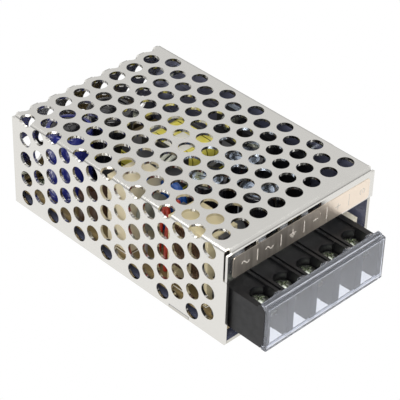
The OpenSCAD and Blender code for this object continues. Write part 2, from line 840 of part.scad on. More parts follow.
// Clear cover: front plate, top lip that wraps the rod, inward lip at the foot
module terminal_cover() {
    outer = guard_in + guard_t;
    crest = hinge_z + hinge_r + 0.55;
    half = block_w / 2 + 0.05;
    color("#c8d2f0", 0.35) on_block() {
        along_y(-half, half) difference() {
            union() {
                polygon([[guard_in, guard_low + 0.3], [guard_in, hinge_z], [hinge_x, hinge_z],
                    [hinge_x, crest], [hinge_x + 0.5, crest], [outer, hinge_z + 0.8],
                    [outer, guard_low + 0.3]]);
                polygon([[-guard_lip, guard_low + 0.2], [-guard_lip + 0.2, guard_low],
                    [outer - 0.3, guard_low], [outer, guard_low + 0.3], [outer, guard_low + 1],
                    [-guard_lip, guard_low + 1]]);
            }
            translate([hinge_x, hinge_z]) circle(hinge_r + run_fit);
        }
        for (i = [1 : poles])
            translate([hinge_x, pole_y(i) + pocket_w / 2 - 1, hinge_z])
                along_y(-0.7, 0.7) hook_profile();
    }
}

case_base();
case_cover();
cover_screws();
legend_label();
insulation_sheet();
pcb();
pcb_spacers();
pcb_screws();
terminal_block();
terminal_cover();
terminal_screw(1);  // terminal_screw_1
terminal_screw(2);  // terminal_screw_2
terminal_screw(3);  // terminal_screw_3
terminal_screw(4);  // terminal_screw_4
terminal_screw(5);  // terminal_screw_5
clamp_plate(1);  // clamp_plate_1
clamp_plate(2);  // clamp_plate_2
clamp_plate(3);  // clamp_plate_3
clamp_plate(4);  // clamp_plate_4
clamp_plate(5);  // clamp_plate_5
terminal_contact(1);  // terminal_contact_1
terminal_contact(2);  // terminal_contact_2
terminal_contact(3);  // terminal_contact_3
terminal_contact(4);  // terminal_contact_4
terminal_contact(5);  // terminal_contact_5
input_capacitor(1);  // input_capacitor_1
input_capacitor(2);  // input_capacitor_2
fuse();
bridge_rectifier();
film_capacitor();
thermistor();
safety_capacitor();
line_choke_core();
line_choke_bobbin();
line_choke_windings();
transformer_core();
core_tape();
transformer_bobbin();
transformer_winding();
output_capacitor(1);  // output_capacitor_1
output_capacitor(2);  // output_capacitor_2
output_capacitor(3);  // output_capacitor_3
output_inductor();
heat_sink();
output_diode();
power_transistor();
thermal_pad();
device_screws();
optocoupler();
trimmer_body();
trimmer_rotor();
indicator_led();
resistors();
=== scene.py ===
"""Enclosed switching power supply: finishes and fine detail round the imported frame.

The perforated case, its board and its terminal strip come from the frame. This file
dresses them, adds what is too fine for the construction model, and sets up the studio.
"""
import logging
import math
from dataclasses import dataclass, field
from enum import Enum
from typing import Any, Iterable, Sequence

import bmesh
import bpy
from mathutils import Matrix, Vector


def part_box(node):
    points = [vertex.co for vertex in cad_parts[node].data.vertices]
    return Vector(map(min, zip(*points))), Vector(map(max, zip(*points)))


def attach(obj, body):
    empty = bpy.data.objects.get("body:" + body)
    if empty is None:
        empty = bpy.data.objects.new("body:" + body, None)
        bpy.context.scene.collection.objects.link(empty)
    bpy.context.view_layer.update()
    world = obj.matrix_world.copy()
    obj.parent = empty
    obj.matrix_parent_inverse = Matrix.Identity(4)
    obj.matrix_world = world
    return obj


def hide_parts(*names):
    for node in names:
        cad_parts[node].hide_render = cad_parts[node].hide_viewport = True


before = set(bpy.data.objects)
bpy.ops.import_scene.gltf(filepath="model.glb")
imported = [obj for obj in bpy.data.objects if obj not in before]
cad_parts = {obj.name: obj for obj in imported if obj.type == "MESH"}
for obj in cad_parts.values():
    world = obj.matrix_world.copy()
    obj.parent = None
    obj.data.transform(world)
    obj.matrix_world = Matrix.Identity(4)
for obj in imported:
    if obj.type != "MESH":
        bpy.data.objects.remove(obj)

log = logging.getLogger("power_supply")
MM = 0.001
# Neighbouring faces that meet at more than this keep a crisp edge
SHARP_DEGREES = 38
# A patch of gloss or colour is this many grains wide
PATCH_GRAINS = 14
# Slow noise seldom leaves this range, so it is spread over the whole of a finish's wander
NOISE_LOW, NOISE_HIGH = 0.3, 0.7
LEAST_ROUGHNESS = 0.02
COAT_ROUGHNESS = 0.06
# A radius under this is a point on the axis
ON_AXIS = 1e-7
# Corners of a node's loose faces that are closer than this are one corner
WELD_DISTANCE = 0.001 * MM
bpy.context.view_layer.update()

# The body that every added piece but the screws' threads rides on
CASE = "case"
# Tinned leads under a part's body
TIN = "c9cacb"

Rgb = tuple[float, float, float]
Sockets = dict[str, Any]
Tree = bpy.types.NodeTree
Socket = bpy.types.NodeSocket
Material = bpy.types.Material
Piece = bpy.types.Object
Sketch = bmesh.types.BMesh


# ---------------------------------------------------------------- shared helpers

def linear(hex_colour: str) -> Rgb:
    """Turns an sRGB hex colour into linear light.

    Args:
        hex_colour: six hex digits, such as "d7d6d0".

    Returns:
        The red, green and blue shares in linear light.
    """
    def channel(value: float) -> float:
        """One channel of the sRGB curve."""
        return value / 12.92 if value <= 0.04045 else ((value + 0.055) / 1.055) ** 2.4

    return tuple(channel(int(hex_colour[i:i + 2], 16) / 255) for i in (0, 2, 4))


def rgba(hex_colour: str) -> tuple[float, float, float, float]:
    """The linear colour of an sRGB hex value with an alpha of 1."""
    return (*linear(hex_colour), 1.0)


def add_node(tree: Tree, kind: str, settings: Sockets | None = None,
             inputs: dict[Any, Any] | None = None) -> bpy.types.Node:
    """Adds one node with its settings and links.

    Args:
        tree: the node tree to add to.
        kind: the node's type name.
        settings: attributes of the node itself.
        inputs: by input name or number, a socket to link from or a value to set.

    Returns:
        The new node.
    """
    node = tree.nodes.new(kind)
    for name, value in (settings or {}).items():
        setattr(node, name, value)
    for key, value in (inputs or {}).items():
        if isinstance(value, Socket):
            tree.links.new(value, node.inputs[key])
        else:
            node.inputs[key].default_value = value
    return node


def linked(name: str, data: bpy.types.ID) -> Piece:
    """An object at the origin, in the scene, that shows this mesh or curve."""
    piece = bpy.data.objects.new(name, data)
    bpy.context.scene.collection.objects.link(piece)
    return piece


def evaluated(source: Piece, name: str) -> bpy.types.Mesh:
    """Turns an object into the plain mesh that it comes out as, and removes it.

    Args:
        source: a curve, or a host with a modifier.
        name: the mesh's name.

    Returns:
        The new mesh.
    """
    bpy.context.view_layer.update()
    graph = bpy.context.evaluated_depsgraph_get()
    data = bpy.data.meshes.new_from_object(source.evaluated_get(graph))
    source.modifiers.clear()
    bpy.data.objects.remove(source)
    data.name = name
    return data


def object_from_bmesh(name: str, mesh: Sketch, material: Material,
                      smooth: bool = False) -> Piece:
    """Makes an object at the origin from a finished bmesh.

    Args:
        name: the piece's name.
        mesh: the bmesh, which is freed.
        material: its one material.
        smooth: whether faces are shaded smooth where the angle between them is small.

    Returns:
        The linked object.
    """
    bmesh.ops.recalc_face_normals(mesh, faces=mesh.faces)
    data = bpy.data.meshes.new(name)
    for face in mesh.faces:
        face.smooth = smooth
    mesh.to_mesh(data)
    mesh.free()
    data.materials.append(material)
    if smooth:
        data.set_sharp_from_angle(angle=math.radians(SHARP_DEGREES))
    return linked(name, data)


def settle(piece: Piece, body: str = CASE,
           replaces: Sequence[str] = ()) -> None:
    """Puts a finished piece on its body and hides the frame's nodes that it stands for.

    Args:
        piece: the finished object.
        body: the body that it rides on.
        replaces: the frame's nodes that it stands for.
    """
    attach(piece, body)
    if replaces:
        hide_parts(*replaces)
    log.info("piece %s rides on %s", piece.name, body)


def centre(node: str) -> Vector:
    """The middle of a frame node's box."""
    low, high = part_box(node)
    return (low + high) / 2


def revolve(name: str, profile: Sequence[tuple[float, float]], at: Vector,
            material: Material, steps: int = 48) -> Piece:
    """Turns a profile of radius and height round a vertical axis.

    Args:
        name: the piece's name.
        profile: points of radius and height in metres, from the axis outwards.
        at: where the profile's zero stands.
        material: the piece's material.
        steps: the number of segments round the axis.

    Returns:
        The new object.
    """
    mesh = bmesh.new()
    rings = []
    for radius, height in profile:
        if radius < ON_AXIS:
            rings.append([mesh.verts.new(at + Vector((0, 0, height)))])
            continue
        rings.append([mesh.verts.new(at + Vector((radius * math.cos(math.tau * k / steps),
                                                  radius * math.sin(math.tau * k / steps), height)))
                      for k in range(steps)])
    for inner, outer in zip(rings, rings[1:]):
        for k in range(steps):
            corners = [inner[k % len(inner)], outer[k % len(outer)],
                       outer[(k + 1) % len(outer)], inner[(k + 1) % len(inner)]]
            unique = list(dict.fromkeys(corners))
            if len(unique) > 2:
                mesh.faces.new(unique)
    return object_from_bmesh(name, mesh, material, smooth=True)


def prism(mesh: Sketch, outline: Sequence[Vector], rise: Vector) -> None:
    """Adds a closed prism to a bmesh.

    Args:
        mesh: the bmesh to add to.
        outline: the corners of the foot.
        rise: from the foot to the top.
    """
    foot = [mesh.verts.new(point) for point in outline]
    top = [mesh.verts.new(point + rise) for point in outline]
    mesh.faces.new(foot)
    mesh.faces.new(top)
    for k, corner in enumerate(foot):
        after = (k + 1) % len(foot)
        mesh.faces.new([corner, foot[after], top[after], top[k]])


def tube_along(name: str, points: Sequence[Vector], radius: float, material: Material,
               round_steps: int = 10) -> Piece:
    """A round wire with closed ends along a smooth line.

    Args:
        name: the piece's name.
        points: the places that the line passes.
        radius: the wire's radius in metres.
        material: the wire's material.
        round_steps: the number of sides.

    Returns:
        A mesh object at the origin.
    """
    curve = bpy.data.curves.new(name, "CURVE")
    curve.dimensions = "3D"
    curve.bevel_depth = radius
    curve.bevel_resolution = max(1, round_steps // 4)
    curve.use_fill_caps = True
    spline = curve.splines.new("NURBS")
    spline.points.add(len(points) - 1)
    for target, place in zip(spline.points, points):
        target.co = (*place, 1.0)
    spline.order_u = 3
    spline.use_endpoint_u = True
    curve.resolution_u = 8
    data = evaluated(linked(name + "_line", curve), name)
    data.materials.clear()
    data.materials.append(material)
    return linked(name, data)


# ---------------------------------------------------------------- finishes

@dataclass(frozen=True)
class Finish:
    """A surface by its common name: colour, gloss and a fine grain in its relief.

    Attributes:
        name: what the material is and how its surface was made.
        colour: the surface's sRGB hex colour.
        roughness: the middle roughness.
        metallic: 1 for metal, 0 for everything else.
        ior: the index of refraction, left at its default on metal.
        grain_mm: the size of the relief's grain.
        relief: the relief's strength.
        mottle: how far the colour wanders, as a share.
        patchy: how far the roughness wanders.
        stretch: how much longer the grain is along X, Y and Z.
        coat: the strength of a clear top coat.
    """

    name: str
    colour: str
    roughness: float = 0.5
    metallic: float = 0.0
    ior: float = 1.5
    grain_mm: float = 0.25
    relief: float = 0.05
    mottle: float = 0.06
    patchy: float = 0.08
    stretch: tuple[float, float, float] = (1.0, 1.0, 1.0)
    coat: float = 0.0

    def material(self) -> Material:
        """Returns the material, made once for each name."""
        made = bpy.data.materials.get(self.name)
        return made if made else self.build()

    def build(self) -> Material:
        """Builds the node tree of the new material.

        Returns:
            The new material.
        """
        material = bpy.data.materials.new(self.name)
        material.use_nodes = True
        tree = material.node_tree
        tree.nodes.clear()
        shader = add_node(tree, "ShaderNodeBsdfPrincipled", None, self.sockets())
        place = self.place(tree)
        patches = add_node(tree, "ShaderNodeTexNoise", None, {
            "Vector": place, "Scale": 1 / (PATCH_GRAINS * self.grain_mm * MM), "Detail": 3.0})
        self.paint(tree, shader, patches.outputs["Fac"])
        spread = add_node(tree, "ShaderNodeMapRange", None, {
            "Value": patches.outputs["Fac"], "From Min": NOISE_LOW, "From Max": NOISE_HIGH,
            "To Min": max(LEAST_ROUGHNESS, self.roughness - self.patchy),
            "To Max": self.roughness + self.patchy})
        tree.links.new(spread.outputs["Result"], shader.inputs["Roughness"])
        grain = add_node(tree, "ShaderNodeTexNoise", None,
                         {"Vector": place, "Scale": 1 / (self.grain_mm * MM), "Detail": 2.0})
        bump = add_node(tree, "ShaderNodeBump", None, {
            "Height": grain.outputs["Fac"], "Strength": self.relief,
            "Distance": self.grain_mm * MM})
        tree.links.new(bump.outputs["Normal"], shader.inputs["Normal"])
        add_node(tree, "ShaderNodeOutputMaterial", None, {"Surface": shader.outputs["BSDF"]})
        return material

    def sockets(self) -> Sockets:
        """The shader's own values that are the same all over.

        Returns:
            Values by the name of their input.
        """
        values: Sockets = {"Base Color": rgba(self.colour), "Metallic": self.metallic}
        if self.metallic < 0.5:
            values["IOR"] = self.ior
        if self.coat:
            values["Coat Weight"] = self.coat
            values["Coat Roughness"] = COAT_ROUGHNESS
        return values

    def place(self, tree: Tree) -> Socket:
        """Object coordinates, squeezed where the grain runs one way.

        Args:
            tree: the material's tree.

        Returns:
            The coordinates that the patterns use.
        """
        here = add_node(tree, "ShaderNodeTexCoord").outputs["Object"]
        if self.stretch == (1.0, 1.0, 1.0):
            return here
        scale = tuple(1 / share for share in self.stretch)
        mapping = add_node(tree, "ShaderNodeMapping", None, {"Vector": here, "Scale": scale})
        return mapping.outputs["Vector"]

    def along(self, tree: Tree, axis: str) -> Socket:
        """How far along one of the object's axes a place is."""
        here = add_node(tree, "ShaderNodeTexCoord").outputs["Object"]
        return add_node(tree, "ShaderNodeSeparateXYZ", None, {"Vector": here}).outputs[axis]

    def mottled(self, tree: Tree, patches: Socket) -> Socket:
        """The finish's colour, darker where the slow noise is low.

        Args:
            tree: the material's tree.
            patches: a slow noise from 0 to 1.

        Returns:
            The colour's socket.
        """
        dark = (*(share * (1 - self.mottle) for share in linear(self.colour)), 1.0)
        return add_node(tree, "ShaderNodeMix", {"data_type": "RGBA"},
                        {0: patches, 6: dark, 7: rgba(self.colour)}).outputs[2]

    def paint(self, tree: Tree, shader: bpy.types.Node, patches: Socket) -> None:
        """Gives the shader its wandering colour.

        Args:
            tree: the material's tree.
            shader: its principled shader.
            patches: a slow noise from 0 to 1.
        """
        base = linear(self.colour)
        dark = (*(share * (1 - self.mottle) for share in base), 1.0)
        light = (*(min(1.0, share * (1 + self.mottle)) for share in base), 1.0)
        mix = add_node(tree, "ShaderNodeMix", {"data_type": "RGBA"},
                       {0: patches, 6: dark, 7: light})
        tree.links.new(mix.outputs[2], shader.inputs["Base Color"])


@dataclass(frozen=True)
class LeadedPart(Finish):
    """A moulded or dipped part whose lower end is its tinned leads.

    Attributes:
        lead_top: the height in metres under which the leads' tin shows.
    """

    lead_top: float = 0.0

    def paint(self, tree: Tree, shader: bpy.types.Node, patches: Socket) -> None:
        """Body colour above lead_top and bright tin below it.

        Args:
            tree: the material's tree.
            shader: its principled shader.
            patches: a slow noise from 0 to 1.
        """
        is_body = add_node(tree, "ShaderNodeMath", {"operation": "GREATER_THAN"},
                           {0: self.along(tree, "Z"), 1: self.lead_top}).outputs[0]
        both = add_node(tree, "ShaderNodeMix", {"data_type": "RGBA"},
                        {0: is_body, 6: rgba(TIN), 7: self.mottled(tree, patches)})
        tree.links.new(both.outputs[2], shader.inputs["Base Color"])
        metal = add_node(tree, "ShaderNodeMath", {"operation": "SUBTRACT"}, {0: 1.0, 1: is_body})
        tree.links.new(metal.outputs[0], shader.inputs["Metallic"])


@dataclass(frozen=True)
class Bands(Finish):
    """Tape laid in bands: its colour darkens where one lap meets the next.

    Attributes:
        lap_mm: the width of one lap.
        across: the axis that the laps follow each other along.
        seam: the colour in the gap between laps.
        seam_share: how much of a lap the gap takes.
    """

    lap_mm: float = 1.0
    across: str = "Z"
    seam: str = "6b6010"
    seam_share: float = 0.12

    def paint(self, tree: Tree, shader: bpy.types.Node, patches: Socket) -> None:
        """Lap lines at an even pitch, with the slow noise between them.

        Args:
            tree: the material's tree.
            shader: its principled shader.
            patches: a slow noise from 0 to 1.
        """
        turns = add_node(tree, "ShaderNodeMath", {"operation": "DIVIDE"},
                         {0: self.along(tree, self.across), 1: self.lap_mm * MM})
        share = add_node(tree, "ShaderNodeMath", {"operation": "FRACT"}, {0: turns.outputs[0]})
        line = add_node(tree, "ShaderNodeMath", {"operation": "LESS_THAN"},
                        {0: share.outputs[0], 1: self.seam_share})
        both = add_node(tree, "ShaderNodeMix", {"data_type": "RGBA"}, {
            0: line.outputs[0], 6: self.mottled(tree, patches), 7: rgba(self.seam)})
        tree.links.new(both.outputs[2], shader.inputs["Base Color"])


@dataclass(frozen=True)
class ShadePaintedSheet(Finish):
    """Bright sheet outside; on the faces inside the case, a dull slate colour that is painted
    shade.

    Attributes:
        inner_shade: the inner faces' colour, a painted shade.
        inner_shade_metal: how metallic the painted shade leaves them.
        floor_z: the height of the inner face of the bottom, in metres.
        wall_y: the place of the inner face of the back wall, in metres.
    """

    # The inner faces' dull slate is painted shade, and it lowers their metal
    inner_shade: str = "5f6277"
    inner_shade_metal: float = 0.35
    floor_z: float = 0.00096
    wall_y: float = 0.02372

    def paint(self, tree: Tree, shader: bpy.types.Node, patches: Socket) -> None:
        """Painted shade over the bottom and in front of the back wall, bright metal elsewhere.

        Args:
            tree: the material's tree.
            shader: its principled shader.
            patches: a slow noise from 0 to 1.
        """
        # The mask picks the faces inside the case, which get the painted shade
        above = add_node(tree, "ShaderNodeMath", {"operation": "GREATER_THAN"},
                         {0: self.along(tree, "Z"), 1: self.floor_z})
        ahead = add_node(tree, "ShaderNodeMath", {"operation": "LESS_THAN"},
                         {0: self.along(tree, "Y"), 1: self.wall_y})
        inside = add_node(tree, "ShaderNodeMath", {"operation": "MULTIPLY"},
                          {0: above.outputs[0], 1: ahead.outputs[0]}).outputs[0]
        both = add_node(tree, "ShaderNodeMix", {"data_type": "RGBA"}, {
            0: inside, 6: self.mottled(tree, patches), 7: rgba(self.inner_shade)})
        tree.links.new(both.outputs[2], shader.inputs["Base Color"])
        metal = add_node(tree, "ShaderNodeMapRange", None,
                         {"Value": inside, "To Min": 1.0, "To Max": self.inner_shade_metal})
        tree.links.new(metal.outputs["Result"], shader.inputs["Metallic"])


@dataclass(frozen=True)
class ReflectionStreakedFilm(Finish):
    """Film over a brushed metal layer, with painted reflection: upright dark streaks for the
    brushing's streaky shine, and a warm tint towards one end.

    Attributes:
        warm_reflection: the colour of the painted reflection at the far end.
        streak_mm: the width of one streak.
        reflection_streak_dark: how bright a dark streak of painted reflection is beside the film's
            own colour.
        streak_squeeze: how much slower a streak changes upwards than across.
        fade_mm: where along Y the warm painted reflection starts and is full.
    """

    warm_reflection: str = "efe0cf"
    streak_mm: float = 1.1
    reflection_streak_dark: float = 0.42
    streak_squeeze: float = 0.06
    fade_mm: tuple[float, float] = (-8, 14)

    def paint(self, tree: Tree, shader: bpy.types.Node, patches: Socket) -> None:
        """Painted streaks of reflection along Y that fade into the warm painted reflection.

        Args:
            tree: the material's tree.
            shader: its principled shader.
            patches: not read, because the streaks stand in for it.
        """
        here = add_node(tree, "ShaderNodeTexCoord").outputs["Object"]
        squeezed = add_node(tree, "ShaderNodeMapping", None,
                            {"Vector": here, "Scale": (1.0, 1.0, self.streak_squeeze)})
        streaks = add_node(tree, "ShaderNodeTexNoise", None, {
            "Vector": squeezed.outputs["Vector"], "Scale": 1 / (self.streak_mm * MM),
            "Detail": 2.0})
        dark = (*(share * self.reflection_streak_dark for share in linear(self.colour)), 1.0)
        cool = add_node(tree, "ShaderNodeMix", {"data_type": "RGBA"},
                        {0: streaks.outputs["Fac"], 6: dark, 7: rgba(self.colour)})
        start, full = self.fade_mm
        share = add_node(tree, "ShaderNodeMapRange", {"interpolation_type": "SMOOTHSTEP"}, {
            "Value": self.along(tree, "Y"), "From Min": start * MM, "From Max": full * MM})
        both = add_node(tree, "ShaderNodeMix", {"data_type": "RGBA"}, {
            0: share.outputs["Result"], 6: cool.outputs[2], 7: rgba(self.warm_reflection)})
        tree.links.new(both.outputs[2], shader.inputs["Base Color"])


@dataclass(frozen=True)
class ClearMoulding(Finish):
    """A see-through moulding, such as polycarbonate or tinted epoxy.

    Attributes:
        clear: the share of light that passes; the rest is the moulding's haze.
    """

    clear: float = 0.94

    def sockets(self) -> Sockets:
        """Nearly full transmission with the plastic's own index."""
        return {"Base Color": rgba(self.colour), "Transmission Weight": self.clear,
                "IOR": self.ior}


class Surface(Enum):
    """Every finish of the object, named for what it is made of."""

    # Tin-plated steel sheet: bright, with a faint rolling grain along its length
    PLATED = Finish("plated steel sheet", "e2e0db", 0.2, 1.0, grain_mm=0.35, relief=0.03,
                    mottle=0.035, patchy=0.06, stretch=(14.0, 1.0, 1.0))
    # The same sheet on the plain base, painted a dull slate inside as painted shade
    BASE = ShadePaintedSheet("plated base sheet", "cfccc4", 0.24, 1.0, grain_mm=0.35, relief=0.03,
                      mottle=0.04, patchy=0.06, stretch=(14.0, 1.0, 1.0))
    # Polyester film over bright metal: it mirrors the block below it, softly, and its streaks and
    # warm end are painted reflection
    FILM = ReflectionStreakedFilm("metallised film", "c4baae", 0.3, 0.8, grain_mm=2.5, relief=0.05,
                        patchy=0.03, stretch=(1.0, 1.0, 6.0))
    # Baked legend ink: pale and matt
    INK = Finish("legend ink", "cbc4ba", 0.6, mottle=0.05)
    # Glass-filled PBT, moulded against an etched tool
    PBT = Finish("black pbt moulding", "0a0a0c", 0.42, ior=1.45, grain_mm=0.12, relief=0.06)
    # Clear polycarbonate, polished tool
    CLEAR = ClearMoulding("clear polycarbonate", "e2e6f0", 0.03, ior=1.585, grain_mm=3.0,
                          relief=0.02, patchy=0.02)
    # Zinc-plated steel with a pale passivation: a soft grey shine
    ZINC = Finish("zinc plated steel", "b4b8ae", 0.28, 1.0, grain_mm=0.1, relief=0.04, mottle=0.1)
    # Brass under a coat of tin: bright, and a little warmer than zinc
    TINNED = Finish("tinned brass", "cbc7b2", 0.25, 1.0, mottle=0.08)
    # Turned brass without a coat: yellow, with a soft shine
    BRASS = Finish("machined brass", "c9a65a", 0.28, 1.0, mottle=0.08)
    # Phenolic paper laminate: tan, with the paper's fibres just visible
    LAMINATE = Finish("phenolic paper laminate", "7d6c48", 0.4, ior=1.55, grain_mm=0.3,
                      relief=0.03, mottle=0.08, stretch=(4.0, 1.0, 1.0))
    # Dark polyester film, with a faint sheen
    INSULATION = Finish("polyester insulating film", "4b4e60", 0.35, ior=1.6, grain_mm=0.6,
                        mottle=0.05)
    # Screened ink on the laminate: white and matt
    COMPONENT_LEGEND = Finish("white component print", "e9e6dd", 0.6)
    # Solder that set from the melt: bright and slightly uneven
    SOLDER = Finish("tin solder", "c6c8ca", 0.2, 1.0, grain_mm=0.2, relief=0.1, mottle=0.06)
    # A black, glossy top over the can: painted dark reflection, for a bare top that mirrors the
    # cover's dark underside
    PAINTED_DARK_TOP = Finish("can top painted dark", "17171b", 0.25, grain_mm=0.4, relief=0.04, coat=0.3)
    # Deep drawn aluminium, left bare: it mirrors the surround, and its blue tint is a painted
    # reflection of cool glints
    CAN = Finish("drawn aluminium can", "bcc8da", 0.25, 1.0, grain_mm=0.2, relief=0.04, mottle=0.05)
    # Ink on a glossy sleeve: grey, with a soft gloss
    SLEEVE_PRINT = Finish("grey sleeve print", "a9adb4", 0.35)
    # Round copper wire under clear enamel
    COPPER = Finish("enamelled copper wire", "b4582e", 0.28, 1.0, grain_mm=0.3, relief=0.02,
                    mottle=0.12)
    # The same wire in a darker double enamel
    DARK_COPPER = Finish("brown enamelled wire", "5b4535", 0.3, 1.0, grain_mm=0.25, relief=0.02,
                         mottle=0.4)
    # Pressed and fired ferrite: charcoal, with a dull shine
    FERRITE = Finish("sintered ferrite", "303034", 0.5, ior=1.9, grain_mm=0.15, relief=0.12)
    # Extruded aluminium, black anodised: faint lines run upwards
    BLACK_ANODISED = Finish("black anodised aluminium", "26262a", 0.35, 0.6, grain_mm=0.2,
                            relief=0.05, stretch=(1.0, 1.0, 8.0))
    # Filled silicone rubber: pale and matt
    SILICONE = Finish("silicone thermal pad", "9fa9b5", 0.7, ior=1.41, grain_mm=0.5, relief=0.08)
    # Wrapped polyester tape, glossy yellow
    TAPE = Bands("yellow polyester tape", "f3e664", 0.22, ior=1.6, grain_mm=0.8, relief=0.03,
                 mottle=0.12, coat=0.5, lap_mm=2.6, across="Y")
    # The same tape round the core, whose laps follow each other upwards
    CORE_TAPE = Bands("yellow core tape", "f3e664", 0.22, ior=1.6, grain_mm=0.8, relief=0.03,
                      mottle=0.12, coat=0.5, lap_mm=3.5, across="Z")
    # Woven cotton tape: white and matt
    WHITE_TAPE = Finish("white cotton tape", "f0eee6", 0.5, grain_mm=0.3, relief=0.1)
    # Pvc insulation: a dark red with a thin gloss
    RED_WIRE = Finish("red insulated wire", "a8321f", 0.35, grain_mm=0.5, coat=0.2)
    # A thin sleeve over wire: milky, with a soft gloss
    CLEAR_SLEEVE = Finish("milky wire sleeve", "cfd0c2", 0.35, grain_mm=0.4)
    # Cast epoxy with a green tint: it passes most light
    LED = ClearMoulding("green tinted epoxy", "8fd89a", 0.12, ior=1.55)

    @property
    def material(self) -> Material:
        """The finish's material."""
        return self.value.material()


def dress(node: str, material: Material) -> None:
    """Gives one of the frame's own nodes its material.

    Args:
        node: the node's name.
        material: what it is made of.
    """
    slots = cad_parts[node].data.materials
    slots.clear()
    slots.append(material)
    log.info("node %s is %s", node, material.name)


def ease_edges(node: str, width_mm: float, segments: int = 2, angle: float = 40.0) -> None:
    """Breaks the sharp edges of one of the frame's own nodes.

    Args:
        node: the node's name.
        width_mm: the width of the broken edge.
        segments: how many faces round it.
        angle: edges sharper than this many degrees are broken.
    """
    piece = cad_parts[node]
    weld = piece.modifiers.new("weld", "WELD")
    weld.merge_threshold = WELD_DISTANCE
    bevel = piece.modifiers.new("broken edges", "BEVEL")
    bevel.width = width_mm * MM
    bevel.segments = segments
    bevel.limit_method = "ANGLE"
    bevel.angle_limit = math.radians(angle)
    bevel.use_clamp_overlap = True
    bevel.harden_normals = False


# ---------------------------------------------------------------- geometry node trees

# An input's socket by the type of its value; any other type is a vector
SOCKET_KINDS = {int: "NodeSocketInt", float: "NodeSocketFloat"}


@dataclass
class Pattern:
    """A geometry node tree that is built once and used for several pieces.

    Attributes:
        name: the tree's name.
        sizes: the named inputs with their values, in metres where they are lengths.
        tree: the node tree itself.
    """

    name: str
    sizes: dict[str, Any]
    tree: Tree = field(init=False)

    def __post_init__(self) -> None:
        """Makes the tree with its named inputs and fills it."""
        self.tree = bpy.data.node_groups.new(self.name, "GeometryNodeTree")
        sockets = self.tree.interface
        sockets.new_socket("Geometry", in_out="INPUT", socket_type="NodeSocketGeometry")
        for label, value in self.sizes.items():
            kind = SOCKET_KINDS.get(type(value), "NodeSocketVector")
            sockets.new_socket(label, in_out="INPUT", socket_type=kind)
        sockets.new_socket("Material", in_out="INPUT", socket_type="NodeSocketMaterial")
        sockets.new_socket("Geometry", in_out="OUTPUT", socket_type="NodeSocketGeometry")
        entry = add_node(self.tree, "NodeGroupInput")
        shape = self.fill(entry.outputs)
        real = add_node(self.tree, "GeometryNodeRealizeInstances", None, {"Geometry": shape})
        painted = add_node(self.tree, "GeometryNodeSetMaterial", None, {
            "Geometry": real.outputs["Geometry"], "Material": entry.outputs["Material"]})
        add_node(self.tree, "NodeGroupOutput", None, {0: painted.outputs["Geometry"]})

    def fill(self, given: Any) -> Socket:
        """Builds the pattern from its inputs and returns its geometry."""
        raise NotImplementedError

    def make(self, name: str, material: Material, points: Iterable[Vector] = (),
             **sizes: Any) -> Piece:
        """Runs the tree once and keeps the result as a plain mesh.

        Args:
            name: the new piece's name.
            material: the piece's material.
            points: places that the tree reads as the host's vertices.
            **sizes: inputs that differ from the tree's own, with _ for each space.

        Returns:
            The new object at the origin.
        """
        host_mesh = bpy.data.meshes.new(name + "_host")
        host_mesh.from_pydata([tuple(point) for point in points], [], [])
        host = linked(name + "_host", host_mesh)
        modifier = host.modifiers.new("pattern", "NODES")
        modifier.node_group = self.tree
        values = dict(self.sizes)
        values.update({label.replace("_", " "): value for label, value in sizes.items()})
        values["Material"] = material
        for item in self.tree.interface.items_tree:
            if item.in_out == "INPUT" and item.name in values:
                modifier[item.identifier] = values[item.name]
        return linked(name, evaluated(host, name))


class ThreadRidge(Pattern):
    """The helical ridge of a screw thread, standing on a shank."""

    def fill(self, given: Any) -> Socket:
        """A helix swept by a small diamond and moved to its place.

        Args:
            given: the outputs of the tree's Group Input.

        Returns:
            The pattern's geometry.
        """
        helix = add_node(self.tree, "GeometryNodeCurveSpiral", None, {
            "Resolution": 20, "Rotations": given["Turns"], "Start Radius": given["Radius"],
            "End Radius": given["Radius"], "Height": given["Length"]})
        ridge = add_node(self.tree, "GeometryNodeCurvePrimitiveCircle", None,
                         {"Resolution": 4, "Radius": given["Ridge"]})
        swept = add_node(self.tree, "GeometryNodeCurveToMesh", None, {
            "Curve": helix.outputs["Curve"], "Profile Curve": ridge.outputs["Curve"],
            "Fill Caps": True})
        moved = add_node(self.tree, "GeometryNodeTransform", None,
                         {"Geometry": swept.outputs["Mesh"], "Translation": given["Foot"]})
        return moved.outputs["Geometry"]


class WireLoops(Pattern):
    """Turns of wire side by side along X, each a loop with round corners."""

    def fill(self, given: Any) -> Socket:
        """Instances of one loop on a line of points.

        Args:
            given: the outputs of the tree's Group Input.

        Returns:
            The pattern's geometry.
        """
        loop = add_node(self.tree, "GeometryNodeCurvePrimitiveQuadrilateral", {"mode": "RECTANGLE"},
                        {"Width": given["Width"], "Height": given["Height"]})
        eased = add_node(self.tree, "GeometryNodeFilletCurve", {"mode": "POLY"}, {
            "Curve": loop.outputs["Curve"], "Count": 5, "Radius": given["Corner"]})
        wire = add_node(self.tree, "GeometryNodeCurvePrimitiveCircle", None,
                        {"Resolution": 8, "Radius": given["Wire"]})
        turn = add_node(self.tree, "GeometryNodeCurveToMesh", None, {
            "Curve": eased.outputs["Curve"], "Profile Curve": wire.outputs["Curve"]})
        upright = add_node(self.tree, "GeometryNodeTransform", None,
                           {"Geometry": turn.outputs["Mesh"], "Rotation": given["Turned"]})
        line = add_node(self.tree, "GeometryNodeMeshLine", {"mode": "OFFSET"}, {
            "Count": given["Turns"], "Start Location": given["First"], "Offset": given["Step"]})
        rows = add_node(self.tree, "GeometryNodeInstanceOnPoints", None,
                        {"Points": line.outputs["Mesh"], "Instance": upright.outputs["Geometry"]})
        return rows.outputs["Instances"]


